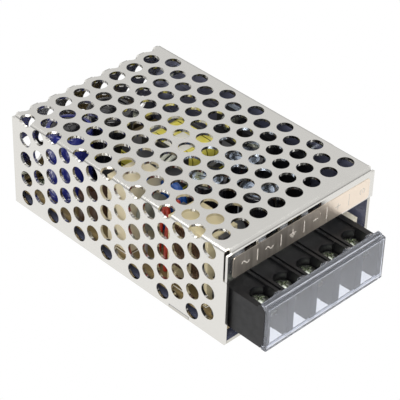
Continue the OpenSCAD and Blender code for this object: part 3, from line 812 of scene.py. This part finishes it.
class SolderJoints(Pattern):
    """A small cone of solder at each lead."""

    def fill(self, given: Any) -> Socket:
        """Instances of one cone on the host's points, pointing down.

        Args:
            given: the outputs of the tree's Group Input.

        Returns:
            The pattern's geometry.
        """
        cone = add_node(self.tree, "GeometryNodeMeshCone", None, {
            "Vertices": 16, "Side Segments": 3, "Radius Top": given["Tip"],
            "Radius Bottom": given["Foot"], "Depth": given["Height"]})
        flipped = add_node(self.tree, "GeometryNodeTransform", None, {
            "Geometry": cone.outputs["Mesh"], "Rotation": (math.pi, 0.0, 0.0)})
        spots = add_node(self.tree, "GeometryNodeInstanceOnPoints", None,
                         {"Points": given["Geometry"], "Instance": flipped.outputs["Geometry"]})
        return spots.outputs["Instances"]


# ---------------------------------------------------------------- sub-assemblies

@dataclass
class Enclosure:
    """The folded sheet parts, their screws and the legend film.

    Attributes:
        poles: the number of terminals that the film marks.
        pole_pitch: the distance between them.
        sign: the height of one sign.
        line: the width of a printed line.
        ink: the thickness of the print.
        turn_inset: how far from the film's end the trimmer's sign stands.
    """

    poles: int = 5
    pole_pitch: float = 8 * MM
    sign: float = 2.3 * MM
    line: float = 0.28 * MM
    ink: float = 0.02 * MM
    turn_inset: float = 2.6 * MM

    def build(self) -> None:
        """Dresses the case and prints the film."""
        dress("case_cover", Surface.PLATED.material)
        dress("case_base", Surface.BASE.material)
        dress("cover_screws", Surface.ZINC.material)
        dress("legend_label", Surface.FILM.material)
        self.print_legend()

    def print_legend(self) -> None:
        """Prints a plain sign over each terminal, with rules between them."""
        low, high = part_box("legend_label")
        block = centre("terminal_block")
        mesh = bmesh.new()
        face_x = high.x
        middle_z = (low.z + high.z) / 2
        first = block.y - self.pole_pitch * (self.poles - 1) / 2
        drawers = (self.wave, self.wave, self.earth, self.minus, self.plus)
        for k, draw in enumerate(drawers):
            draw(mesh, Vector((face_x, first + k * self.pole_pitch, middle_z)))
        for k in range(self.poles + 1):
            y = first + (k - 0.5) * self.pole_pitch
            if low.y + self.line < y < high.y - self.line:
                self.bar(mesh, Vector((face_x, y, middle_z)), self.line, self.sign * 1.5)
        self.turn_sign(mesh, Vector((face_x, high.y - self.turn_inset, middle_z)))
        settle(object_from_bmesh("legend_print", mesh, Surface.INK.material))

    def bar(self, mesh: Sketch, at: Vector, wide: float, tall: float) -> None:
        """Prints one upright rectangle in the film's plane.

        Args:
            mesh: the bmesh to add to.
            at: its middle.
            wide: its width in metres.
            tall: its height in metres.
        """
        corners = [at + Vector((0, y * wide / 2, z * tall / 2))
                   for y, z in ((-1, -1), (1, -1), (1, 1), (-1, 1))]
        prism(mesh, corners, Vector((self.ink, 0, 0)))

    def stroke(self, mesh: Sketch, at: Vector, path: Sequence[tuple[float, float]]) -> None:
        """Prints a line of even width.

        Args:
            mesh: the bmesh to add to.
            at: the sign's middle.
            path: the line's points across and up, in metres.
        """
        for (y0, z0), (y1, z1) in zip(path, path[1:]):
            run = Vector((0, y1 - y0, z1 - z0))
            side = Vector((0, -run.z, run.y)).normalized() * self.line / 2
            start, end = at + Vector((0, y0, z0)), at + Vector((0, y1, z1))
            prism(mesh, [start - side, end - side, end + side, start + side],
                  Vector((self.ink, 0, 0)))

    def wave(self, mesh: Sketch, at: Vector) -> None:
        """Prints the sign for alternating current.

        Args:
            mesh: the bmesh to add to.
            at: the sign's middle.
        """
        steps = 12
        half = self.sign * 0.55
        self.stroke(mesh, at, [(half * (2 * k / steps - 1),
                                self.sign * 0.22 * math.sin(math.tau * k / steps))
                               for k in range(steps + 1)])

    def earth(self, mesh: Sketch, at: Vector) -> None:
        """Prints the sign for protective earth.

        Args:
            mesh: the bmesh to add to.
            at: the sign's middle.
        """
        self.bar(mesh, at + Vector((0, 0, self.sign * 0.3)), self.line, self.sign * 0.5)
        for k, share in enumerate((1.0, 0.65, 0.3)):
            self.bar(mesh, at + Vector((0, 0, -k * self.sign * 0.22)), self.sign * share, self.line)

    def minus(self, mesh: Sketch, at: Vector) -> None:
        """Prints the sign for the negative pole."""
        self.bar(mesh, at, self.sign * 0.8, self.line)

    def plus(self, mesh: Sketch, at: Vector) -> None:
        """Prints the sign for the positive pole."""
        self.bar(mesh, at, self.sign * 0.8, self.line)
        self.bar(mesh, at, self.line, self.sign * 0.8)

    def turn_sign(self, mesh: Sketch, at: Vector) -> None:
        """Prints an open ring with a bar, for the trimmer beside the block.

        Args:
            mesh: the bmesh to add to.
            at: the sign's middle.
        """
        steps = 14
        radius = self.sign * 0.38
        self.stroke(mesh, at, [(radius * math.cos(math.radians(-50 + 280 * k / steps)),
                                radius * math.sin(math.radians(-50 + 280 * k / steps)))
                               for k in range(steps + 1)])
        self.bar(mesh, at, self.line, radius)


@dataclass
class TerminalStrip:
    """The moulded block with its screws, plates, contacts and clear cover.

    Attributes:
        poles: the number of terminals.
        screw_pitch: the rise of the thread in one turn.
        shank_r: the radius of the screw's shank.
        ridge: how far the thread's ridge stands out.
        threaded: the length that shows its thread.
        thread_foot: how far above the screw's tip the thread starts.
        block_edge_mm: the width of the block's broken edges.
        cover_edge_mm: the width of the clear cover's.
    """

    poles: int = 5
    screw_pitch: float = 0.5 * MM
    shank_r: float = 1.5 * MM
    ridge: float = 0.13 * MM
    threaded: float = 1.9 * MM
    thread_foot: float = 0.45 * MM
    block_edge_mm: float = 0.12
    cover_edge_mm: float = 0.14

    def build(self) -> None:
        """Dresses the strip and cuts its threads."""
        dress("terminal_block", Surface.PBT.material)
        dress("terminal_cover", Surface.CLEAR.material)
        ease_edges("terminal_block", self.block_edge_mm)
        ease_edges("terminal_cover", self.cover_edge_mm)
        thread = ThreadRidge("thread_ridge", {
            "Turns": self.threaded / self.screw_pitch, "Radius": self.shank_r,
            "Length": self.threaded, "Ridge": self.ridge, "Foot": Vector((0, 0, 0))})
        for k in range(1, self.poles + 1):
            dress(f"terminal_screw_{k}", Surface.ZINC.material)
            dress(f"clamp_plate_{k}", Surface.ZINC.material)
            dress(f"terminal_contact_{k}", Surface.TINNED.material)
            low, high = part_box(f"terminal_screw_{k}")
            foot = Vector(((low.x + high.x) / 2, (low.y + high.y) / 2,
                           low.z + self.thread_foot))
            piece = thread.make(f"screw_thread_{k}", Surface.ZINC.material, Foot=foot)
            settle(piece, body=f"screw_{k}")


@dataclass
class CircuitBoard:
    """The laminate with its print, joints and the film and spacers under it.

    Attributes:
        print_line: the width of the white print.
        print_rise: its thickness.
        print_gap: how far it stays from the part that it frames.
        lead_reach: how far a lead reaches under the board to be soldered.
        lead_floor: the height that no lead reaches down to.
        lead_apart: points closer than this belong to one lead.
        joint: the radius of a solder joint's tip and foot, and its height.
    """

    print_line: float = 0.25 * MM
    print_rise: float = 0.02 * MM
    print_gap: float = 0.4 * MM
    lead_reach: float = 0.6 * MM
    lead_floor: float = 0.0013
    lead_apart: float = 1.2 * MM
    joint: tuple[float, float, float] = (0.45 * MM, 1.0 * MM, 0.7 * MM)

    def build(self) -> None:
        """Dresses the board, prints outlines and solders the leads."""
        dress("pcb", Surface.LAMINATE.material)
        dress("insulation_sheet", Surface.INSULATION.material)
        dress("pcb_spacers", Surface.ZINC.material)
        dress("pcb_screws", Surface.ZINC.material)
        self.print_outlines()
        self.solder()

    def print_outlines(self) -> None:
        """Prints a frame round each upright part."""
        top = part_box("pcb")[1].z
        mesh = bmesh.new()
        for node in ("bridge_rectifier", "film_capacitor", "optocoupler", "output_diode",
                     "transformer_bobbin", "line_choke_bobbin", "resistors"):
            low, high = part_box(node)
            self.outline(mesh, low, high, top)
        piece = object_from_bmesh("board_print", mesh, Surface.COMPONENT_LEGEND.material)
        settle(piece)

    def outline(self, mesh: Sketch, low: Vector, high: Vector, top: float) -> None:
        """Prints four lines round a box's foot.

        Args:
            mesh: the bmesh to add to.
            low: the box's lowest corner.
            high: the box's highest corner.
            top: the height of the board's upper face.
        """
        gap, wide = self.print_gap, self.print_line
        x0, x1, y0, y1 = low.x - gap, high.x + gap, low.y - gap, high.y + gap
        for ax, ay, bx, by in ((x0, y0, x1, y0 + wide), (x0, y1 - wide, x1, y1),
                               (x0, y0 + wide, x0 + wide, y1 - wide),
                               (x1 - wide, y0 + wide, x1, y1 - wide)):
            corners = [Vector((x, y, top)) for x, y in ((ax, ay), (bx, ay), (bx, by), (ax, by))]
            prism(mesh, corners, Vector((0, 0, self.print_rise)))

    def leads(self) -> list[Vector]:
        """Finds each lead's place under the board from the parts' own meshes.

        Returns:
            One point for each lead, on the board's underside.
        """
        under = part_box("pcb")[0].z
        found: list[Vector] = []
        for name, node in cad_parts.items():
            if name in ("pcb", "pcb_screws", "pcb_spacers", "insulation_sheet", "case_base",
                        "case_cover"):
                continue
            tips = [vert.co for vert in node.data.vertices
                    if self.lead_floor < vert.co.z < under - self.lead_reach]
            groups: list[list[Vector]] = []
            for tip in tips:
                near = next((group for group in groups
                             if (group[0] - tip).xy.length < self.lead_apart), None)
                if near is None:
                    groups.append([tip])
                else:
                    near.append(tip)
            for group in groups:
                middle = sum(group, Vector()) / len(group)
                found.append(Vector((middle.x, middle.y, under)))
        return found

    def solder(self) -> None:
        """Puts a fillet of solder round each lead."""
        tip, foot, height = self.joint
        joints = SolderJoints("solder_joint", {"Tip": tip, "Foot": foot, "Height": height})
        piece = joints.make("solder_joints", Surface.SOLDER.material, self.leads())
        settle(piece)


@dataclass
class PartDresser:
    """The finishes of the parts that stand on the board.

    Attributes:
        board_top: the height of the board's upper face.
    """

    board_top: float = field(init=False)

    def __post_init__(self) -> None:
        """Reads the board's height from the frame."""
        self.board_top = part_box("pcb")[1].z

    def leaded(self, name: str, colour: str, roughness: float, seat_mm: float = 0.35,
               **more: Any) -> Material:
        """A part's finish with tinned leads under its seat.

        Args:
            name: what the part's body is made of.
            colour: the body's sRGB hex colour.
            roughness: the body's roughness.
            seat_mm: how far above the board the leads still show.
            **more: other fields of the finish.

        Returns:
            The material.
        """
        lead_top = self.board_top + seat_mm * MM
        return LeadedPart(name, colour, roughness, lead_top=lead_top, **more).material()


@dataclass
class Electrolytics:
    """Can capacitors: sleeves, can tops with their vent score, and the polarity stripe; the input
    capacitors' tops are black as painted dark reflection.

    Attributes:
        parts: the finishes of what stands on the board.
        rim: the width of the sleeve's rolled rim.
        recess: how deep the can's top lies under the rim.
        play: how far the top stays inside the rim, and the stripe outside the sleeve.
        dish: the height of the top's middle.
        score: the width of the vent's grooves.
        groove: how high a groove's foot lies, and its height.
        stripe_ends: how far the stripe stays from the board and from the top.
        stripe_turn: the angle at which the stripe starts, and how far it goes round.
        stripe_t: the thickness of its mesh.
    """

    parts: PartDresser
    rim: float = 1.1 * MM
    recess: float = 0.3 * MM
    play: float = 0.02 * MM
    dish: float = 0.13 * MM
    score: float = 0.35 * MM
    groove: tuple[float, float] = (0.12 * MM, 0.03 * MM)
    stripe_ends: tuple[float, float] = (4 * MM, 1.2 * MM)
    stripe_turn: tuple[float, float] = (200, 44)
    stripe_t: float = 0.06 * MM

    def build(self) -> None:
        """Dresses each capacitor."""
        indigo = self.parts.leaded("indigo pvc sleeve", "262c78", 0.2, coat=0.4, grain_mm=0.8)
        black = self.parts.leaded("black pvc sleeve", "1b1b20", 0.2, coat=0.4, grain_mm=0.8)
        for node in ("input_capacitor_1", "input_capacitor_2", "output_capacitor_1",
                     "output_capacitor_2", "output_capacitor_3"):
            dress(node, indigo if node == "input_capacitor_1" else black)
            # The input capacitors' black tops are painted dark reflection, where a bare can would
            # mirror the cover's dark underside
            bare = node.startswith("output")
            self.can_top(node, Surface.CAN if bare else Surface.PAINTED_DARK_TOP)
            self.stripe(node)

    def can_top(self, node: str, surface: Surface) -> None:
        """The can's top, dished, with three grooves pressed from its middle.

        Args:
            node: the capacitor's node.
            surface: bare can, or a black top that is painted dark reflection.
        """
        low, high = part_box(node)
        at = Vector(((low.x + high.x) / 2, (low.y + high.y) / 2, high.z - self.recess))
        radius = (high.x - low.x) / 2 - self.rim - self.play
        profile = [(0.0, self.dish), (radius * 0.7, self.dish), (radius * 0.85, 0.09 * MM),
                   (radius, 0.02 * MM), (radius, 0.005 * MM), (0.0, 0.005 * MM)]
        settle(revolve(f"{node}_can_top", profile, at, surface.material))
        lift, deep = self.groove
        mesh = bmesh.new()
        for k in range(3):
            angle = math.radians(90 + 120 * k)
            run = Vector((math.cos(angle), math.sin(angle), 0))
            side = Vector((-run.y, run.x, 0)) * self.score / 2
            foot = at + Vector((0, 0, lift))
            prism(mesh, [foot - side, foot + run * radius * 0.66 - side,
                         foot + run * radius * 0.66 + side, foot + side], Vector((0, 0, deep)))
        # The score is drawn in a dark finish: painted shade in its pressed grooves
        settle(object_from_bmesh(f"{node}_vent", mesh, Surface.BLACK_ANODISED.material))

    def stripe(self, node: str) -> None:
        """The printed stripe that marks the negative lead.

        Args:
            node: the capacitor's node.
        """
        low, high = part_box(node)
        at = Vector(((low.x + high.x) / 2, (low.y + high.y) / 2, 0))
        radius = (high.x - low.x) / 2 + self.play
        inner = radius - self.stripe_t
        mesh = bmesh.new()
        steps = 10
        start, turn = self.stripe_turn
        bottom, top = self.parts.board_top + self.stripe_ends[0], high.z - self.stripe_ends[1]
        columns = []
        for k in range(steps + 1):
            angle = math.radians(start + turn * k / steps)
            out = Vector((math.cos(angle), math.sin(angle), 0))
            columns.append([mesh.verts.new(at + out * r + Vector((0, 0, z)))
                            for r, z in ((radius, bottom), (radius, top),
                                         (inner, top), (inner, bottom))])
        for one, two in zip(columns, columns[1:]):
            for k in range(4):
                mesh.faces.new([one[k], two[k], two[(k + 1) % 4], one[(k + 1) % 4]])
        mesh.faces.new(columns[0])
        mesh.faces.new(columns[-1])
        piece = object_from_bmesh(f"{node}_stripe", mesh, Surface.SLEEVE_PRINT.material,
                                  smooth=True)
        settle(piece)


@dataclass
class InputStage:
    """Fuse, bridge, filter parts and the wound choke.

    Attributes:
        parts: the finishes of what stands on the board.
        wire_r: the radius of the choke's wire.
        bridge_r: the radius of the insulated wires beside it.
        section: the length of one half of the winding.
        loop_w: the width of a turn over its wire.
        corner: the radius that a turn bends round.
        pack: the distance between turns, in radii of the wire.
    """

    parts: PartDresser
    wire_r: float = 0.26 * MM
    bridge_r: float = 0.62 * MM
    section: float = 4.8 * MM
    loop_w: float = 8.8 * MM
    corner: float = 2.0 * MM
    pack: float = 2.05

    def build(self) -> None:
        """Dresses the parts and winds the choke."""
        dress("fuse", self.parts.leaded("brown fuse moulding", "46301f", 0.35, 0.02))
        dress("bridge_rectifier", self.parts.leaded("bridge epoxy", "232325", 0.5, 1.5))
        dress("film_capacitor", self.parts.leaded("cream box moulding", "ddd2b4", 0.4, 0.02))
        dress("thermistor", self.parts.leaded("grey thermistor ceramic", "77796e", 0.7, 7.4,
                                              grain_mm=0.5, relief=0.3, mottle=0.35))
        dress("safety_capacitor", self.parts.leaded("blue dip epoxy", "1c56a8", 0.25, 1.6,
                                                    coat=0.5))
        dress("line_choke_core", Surface.FERRITE.material)
        dress("line_choke_bobbin", self.parts.leaded("cream nylon bobbin", "dccfa8", 0.45, 0.0))
        self.wind_choke()
        self.bridge_wires()

    def bridge_wires(self) -> None:
        """Two insulated wires that bridge the board beside the choke."""
        low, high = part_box("line_choke_core")
        foot = self.parts.board_top + 0.1 * MM
        top = high.z - 0.4 * MM
        middle = (low.y + high.y) / 2
        # Each goes up from the board, bends over beside the core and comes down again
        for k, lean in enumerate((-1.0, 1.0), 1):
            x = low.x - 1.6 * MM + lean * 0.2 * MM
            path = [Vector((x - 2.2 * MM, middle + lean * 2.6 * MM, foot)),
                    Vector((x - 2.0 * MM, middle + lean * 2.6 * MM, foot + 8 * MM)),
                    Vector((x - 1.4 * MM, middle + lean * 2.2 * MM, top - 3 * MM)),
                    Vector((x - 0.6 * MM, middle + lean * 1.6 * MM, top)),
                    Vector((x + 0.2 * MM, middle + lean * 1.6 * MM, top - 3 * MM)),
                    Vector((x + 0.4 * MM, middle + lean * 2.6 * MM, foot + 8 * MM)),
                    Vector((x + 0.4 * MM, middle + lean * 2.6 * MM, foot))]
            settle(tube_along(f"bridge_wire_{k}", path, self.bridge_r, Surface.RED_WIRE.material))

    def wind_choke(self) -> None:
        """Lays round wire over each half of the choke's bobbin."""
        low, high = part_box("line_choke_windings")
        turns = int(self.section / (self.pack * self.wire_r))
        loops = WireLoops("choke_turns", {
            "Width": self.loop_w - 2 * self.wire_r, "Height": high.z - low.z - 2 * self.wire_r,
            "Corner": self.corner, "Wire": self.wire_r,
            "Turned": Vector((math.pi / 2, 0, math.pi / 2)), "Turns": turns,
            "First": Vector((0, 0, 0)), "Step": Vector((self.section / turns, 0, 0))})
        middle = (low + high) / 2
        for k, start in enumerate((low.x, high.x - self.section), 1):
            piece = loops.make(f"choke_wire_{k}", Surface.DARK_COPPER.material,
                               First=Vector((start + self.section / turns / 2, middle.y,
                                             middle.z)))
            settle(piece,
                   replaces=("line_choke_windings",) if k == 1 else ())


@dataclass
class Transformer:
    """The taped transformer with its blank label and lead-outs.

    Attributes:
        parts: the finishes of what stands on the board.
        label: the width and length of the blank label on the winding.
        label_back: the share of each that lies before the winding's middle.
        label_lift: the glue under it.
        label_t: its thickness.
        sleeve_r: the radius of a sleeved lead-out.
    """

    parts: PartDresser
    label: tuple[float, float] = (6.5 * MM, 7.0 * MM)
    label_back: tuple[float, float] = (0.2, 0.75)
    label_lift: float = 0.005 * MM
    label_t: float = 0.06 * MM
    sleeve_r: float = 0.55 * MM

    def build(self) -> None:
        """Dresses the transformer, then adds its label and wires."""
        dress("transformer_core", Surface.FERRITE.material)
        dress("core_tape", Surface.CORE_TAPE.material)
        dress("transformer_bobbin", self.parts.leaded("black phenolic bobbin", "2a2723", 0.45, 0.0))
        dress("transformer_winding", Surface.TAPE.material)
        self.stick_label()
        self.lead_out()

    def stick_label(self) -> None:
        """A blank white label on the winding's flat top."""
        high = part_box("transformer_winding")[1]
        middle = centre("transformer_winding")
        wide, long = self.label
        corner = Vector((middle.x - wide * self.label_back[0],
                         middle.y - long * self.label_back[1], high.z + self.label_lift))
        mesh = bmesh.new()
        prism(mesh, [corner, corner + Vector((wide, 0, 0)), corner + Vector((wide, long, 0)),
                     corner + Vector((0, long, 0))], Vector((0, 0, self.label_t)))
        settle(object_from_bmesh("transformer_label", mesh, Surface.WHITE_TAPE.material))

    def lead_out(self) -> None:
        """Two sleeved wires that leave the winding and run down to the board."""
        low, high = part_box("transformer_winding")
        core_low, core_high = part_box("transformer_core")
        foot = self.parts.board_top + 0.2 * MM
        for k, x in enumerate((high.x - 3.2 * MM, high.x - 5.0 * MM), 1):
            path = [Vector((x, low.y + 1.5 * MM, high.z - 1.2 * MM)),
                    Vector((x, low.y + 0.2 * MM, high.z + 0.1 * MM)),
                    Vector((x, core_low.y - 0.2 * MM, high.z - 1.0 * MM)),
                    Vector((x, core_low.y - 1.0 * MM, core_high.z - 1.0 * MM)),
                    Vector((x, core_low.y - 1.0 * MM, foot + 3 * MM)),
                    Vector((x, core_low.y - 1.0 * MM, foot))]
            piece = tube_along(f"transformer_lead_{k}", path, self.sleeve_r,
                               Surface.CLEAR_SLEEVE.material)
            settle(piece)


@dataclass
class OutputStage:
    """Rectifier on its heat sink, choke, coupler, indicator and trimmer.

    Attributes:
        parts: the finishes of what stands on the board.
        wire_r: the radius of the drum's wire.
        wound: the height between the drum's flanges that is wound.
        wound_from: how far above the board the first turn lies.
        turn_w: the width of a turn, middle to middle of the wire.
        corner: half of that, less a hair, so that a turn comes out round.
        pack: the distance between turns, in radii of the wire.
    """

    parts: PartDresser
    wire_r: float = 0.3 * MM
    wound: float = 8.6 * MM
    wound_from: float = 2.1 * MM
    turn_w: float = 7.0 * MM
    corner: float = 3.49 * MM
    pack: float = 2.05

    def build(self) -> None:
        """Dresses the output side."""
        dress("heat_sink", Surface.BLACK_ANODISED.material)
        for node in ("output_diode", "power_transistor"):
            dress(node, self.parts.leaded("transfer moulded epoxy", "242427", 0.45, 2.1))
        dress("thermal_pad", Surface.SILICONE.material)
        dress("device_screws", Surface.ZINC.material)
        dress("optocoupler", self.parts.leaded("coupler epoxy", "222224", 0.45, 0.5))
        dress("trimmer_body", self.parts.leaded("cream trimmer moulding", "ece6d2", 0.4, 0.02))
        dress("trimmer_rotor", Surface.BRASS.material)
        dress("indicator_led", Surface.LED.material)
        dress("resistors", self.parts.leaded("blue resistor lacquer", "8fb2c4", 0.35, 0.1))
        dress("output_inductor", self.parts.leaded("drum ferrite", "303034", 0.5, 0.02, ior=1.9))
        self.wind_inductor()

    def wind_inductor(self) -> None:
        """Lays turns of wire between the drum's flanges."""
        at = centre("output_inductor")
        first = self.parts.board_top + self.wound_from
        step = self.pack * self.wire_r
        turns = int(self.wound / step)
        loops = WireLoops("drum_turns", {
            "Width": self.turn_w, "Height": self.turn_w, "Corner": self.corner,
            "Wire": self.wire_r, "Turned": Vector((0, 0, 0)), "Turns": turns,
            "First": Vector((at.x, at.y, first)), "Step": Vector((0, 0, step))})
        settle(loops.make("inductor_wire", Surface.COPPER.material))


# ---------------------------------------------------------------- studio

@dataclass
class Studio:
    """Camera, pale floor, soft lamps and a white surround.

    Attributes:
        azimuth: degrees round from the perforated wall towards the terminals.
        elevation: degrees above the horizon.
        roll: degrees that the camera leans.
        distance: from the aim to the lens.
        aim: the point that the camera looks at.
        lens_mm: the focal length on a 36 mm wide frame.
        surround: how strongly the surround lights the object.
        horizon: how bright a metal mirrors the surround near the horizon.
        zenith: how bright a metal mirrors it overhead.
        sky: the heights of a ray between which one turns into the other.
        floor_gap: how far the floor lies under the object.
    """

    azimuth: float = 44.774
    elevation: float = 36.514
    roll: float = -1.808
    distance: float = 441.65 * MM
    aim: Vector = field(default_factory=lambda: Vector((-1.0, 5.13, 5.86)) * MM)
    lens_mm: float = 153.1
    surround: float = 0.4
    horizon: float = 0.3
    zenith: float = 0.78
    sky: tuple[float, float] = (0.1, 0.45)
    floor_gap: float = 0.0002

    def build(self) -> None:
        """Sets up everything that isn't the object."""
        self.camera()
        self.floor()
        self.world()
        self.lamp("key", (-0.25, -0.55, 0.75), 0.45, 3.0)
        self.lamp("fill", (0.45, -0.45, 0.5), 0.5, 6.0)
        self.lamp("top", (0.1, 0.1, 0.95), 0.6, 2.0)
        bpy.context.scene.view_settings.view_transform = "Standard"

    def camera(self) -> None:
        """Places the camera."""
        turn, rise, lean = map(math.radians, (self.azimuth, self.elevation, self.roll))
        back = Vector((math.sin(turn) * math.cos(rise), -math.cos(turn) * math.cos(rise),
                       math.sin(rise)))
        right = Vector((0, 0, 1)).cross(back).normalized()
        up = back.cross(right)
        across = right * math.cos(lean) - up * math.sin(lean)
        upward = right * math.sin(lean) + up * math.cos(lean)
        data = bpy.data.cameras.new("camera")
        data.lens = self.lens_mm
        data.sensor_width = 36.0
        data.clip_start = 0.01
        camera = bpy.data.objects.new("camera", data)
        camera.matrix_world = Matrix((
            (across.x, upward.x, back.x, 0), (across.y, upward.y, back.y, 0),
            (across.z, upward.z, back.z, 0), (0, 0, 0, 1)))
        camera.location = self.aim + back * self.distance
        bpy.context.scene.collection.objects.link(camera)
        bpy.context.scene.camera = camera

    def floor(self) -> None:
        """Lays the floor: plain white to the camera, matt where it throws light back."""
        mesh = bmesh.new()
        bmesh.ops.create_grid(mesh, x_segments=1, y_segments=1, size=3.0)
        material = bpy.data.materials.new("pale floor")
        material.use_nodes = True
        tree = material.node_tree
        shader = tree.nodes["Principled BSDF"]
        shader.inputs["Base Color"].default_value = rgba("fafafa")
        shader.inputs["Roughness"].default_value = 0.9
        glow = add_node(tree, "ShaderNodeEmission", None, {"Color": (1, 1, 1, 1), "Strength": 1.0})
        mixed = add_node(tree, "ShaderNodeMixShader", None, {
            0: self.seen(tree), 1: shader.outputs["BSDF"], 2: glow.outputs["Emission"]})
        tree.links.new(mixed.outputs[0], tree.nodes["Material Output"].inputs["Surface"])
        plate = object_from_bmesh("floor", mesh, material)
        plate.location.z = -self.floor_gap

    def seen(self, tree: Tree) -> Socket:
        """1 where a ray from the camera sees the place, straight, mirrored or through glass.

        Args:
            tree: the tree that asks.

        Returns:
            The share, 0 or 1.
        """
        path = add_node(tree, "ShaderNodeLightPath").outputs
        near = add_node(tree, "ShaderNodeMath", {"operation": "MAXIMUM"},
                        {0: path["Is Camera Ray"], 1: path["Is Glossy Ray"]})
        return add_node(tree, "ShaderNodeMath", {"operation": "MAXIMUM"},
                        {0: near.outputs[0], 1: path["Is Transmission Ray"]}).outputs[0]

    def world(self) -> None:
        """White where it is seen or mirrored, softer where it lights."""
        world = bpy.data.worlds.new("surround")
        bpy.context.scene.world = world
        world.use_nodes = True
        tree = world.node_tree
        tree.nodes.clear()
        path = add_node(tree, "ShaderNodeLightPath").outputs
        way = add_node(tree, "ShaderNodeTexCoord").outputs["Generated"]
        height = add_node(tree, "ShaderNodeSeparateXYZ", None, {"Vector": way}).outputs["Z"]
        mirrored = add_node(tree, "ShaderNodeMapRange", None, {
            "Value": height, "From Min": self.sky[0], "From Max": self.sky[1],
            "To Min": self.horizon, "To Max": self.zenith}).outputs["Result"]
        bright = add_node(tree, "ShaderNodeMix", {"data_type": "FLOAT"}, {
            0: path["Is Glossy Ray"], 2: 1.0, 3: mirrored}).outputs[0]
        strength = add_node(tree, "ShaderNodeMapRange", None, {
            "Value": self.seen(tree), "To Min": self.surround, "To Max": bright})
        light = add_node(tree, "ShaderNodeBackground", None,
                         {"Color": (1, 1, 1, 1), "Strength": strength.outputs["Result"]})
        add_node(tree, "ShaderNodeOutputWorld", None, {"Surface": light.outputs["Background"]})

    def lamp(self, name: str, at: tuple[float, float, float], size: float, power: float) -> None:
        """Adds one soft square lamp aimed at the object.

        Args:
            name: the lamp's name.
            at: where it hangs, in metres.
            size: the length of its sides.
            power: its power in watts.
        """
        data = bpy.data.lights.new(name, "AREA")
        data.size = size
        data.energy = power
        lamp = bpy.data.objects.new(name, data)
        lamp.location = at
        lamp.rotation_euler = (-Vector(at)).to_track_quat("-Z", "Y").to_euler()
        bpy.context.scene.collection.objects.link(lamp)


def main() -> None:
    """Builds the studio and every sub-assembly in order."""
    logging.basicConfig(level=logging.INFO, format="%(name)s: %(message)s")
    Studio().build()
    parts = PartDresser()
    for assembly in (Enclosure(), TerminalStrip(), CircuitBoard(), Electrolytics(parts),
                     InputStage(parts), Transformer(parts), OutputStage(parts)):
        assembly.build()
        log.info("%s built", type(assembly).__name__)


if __name__ == "__main__":
    main()
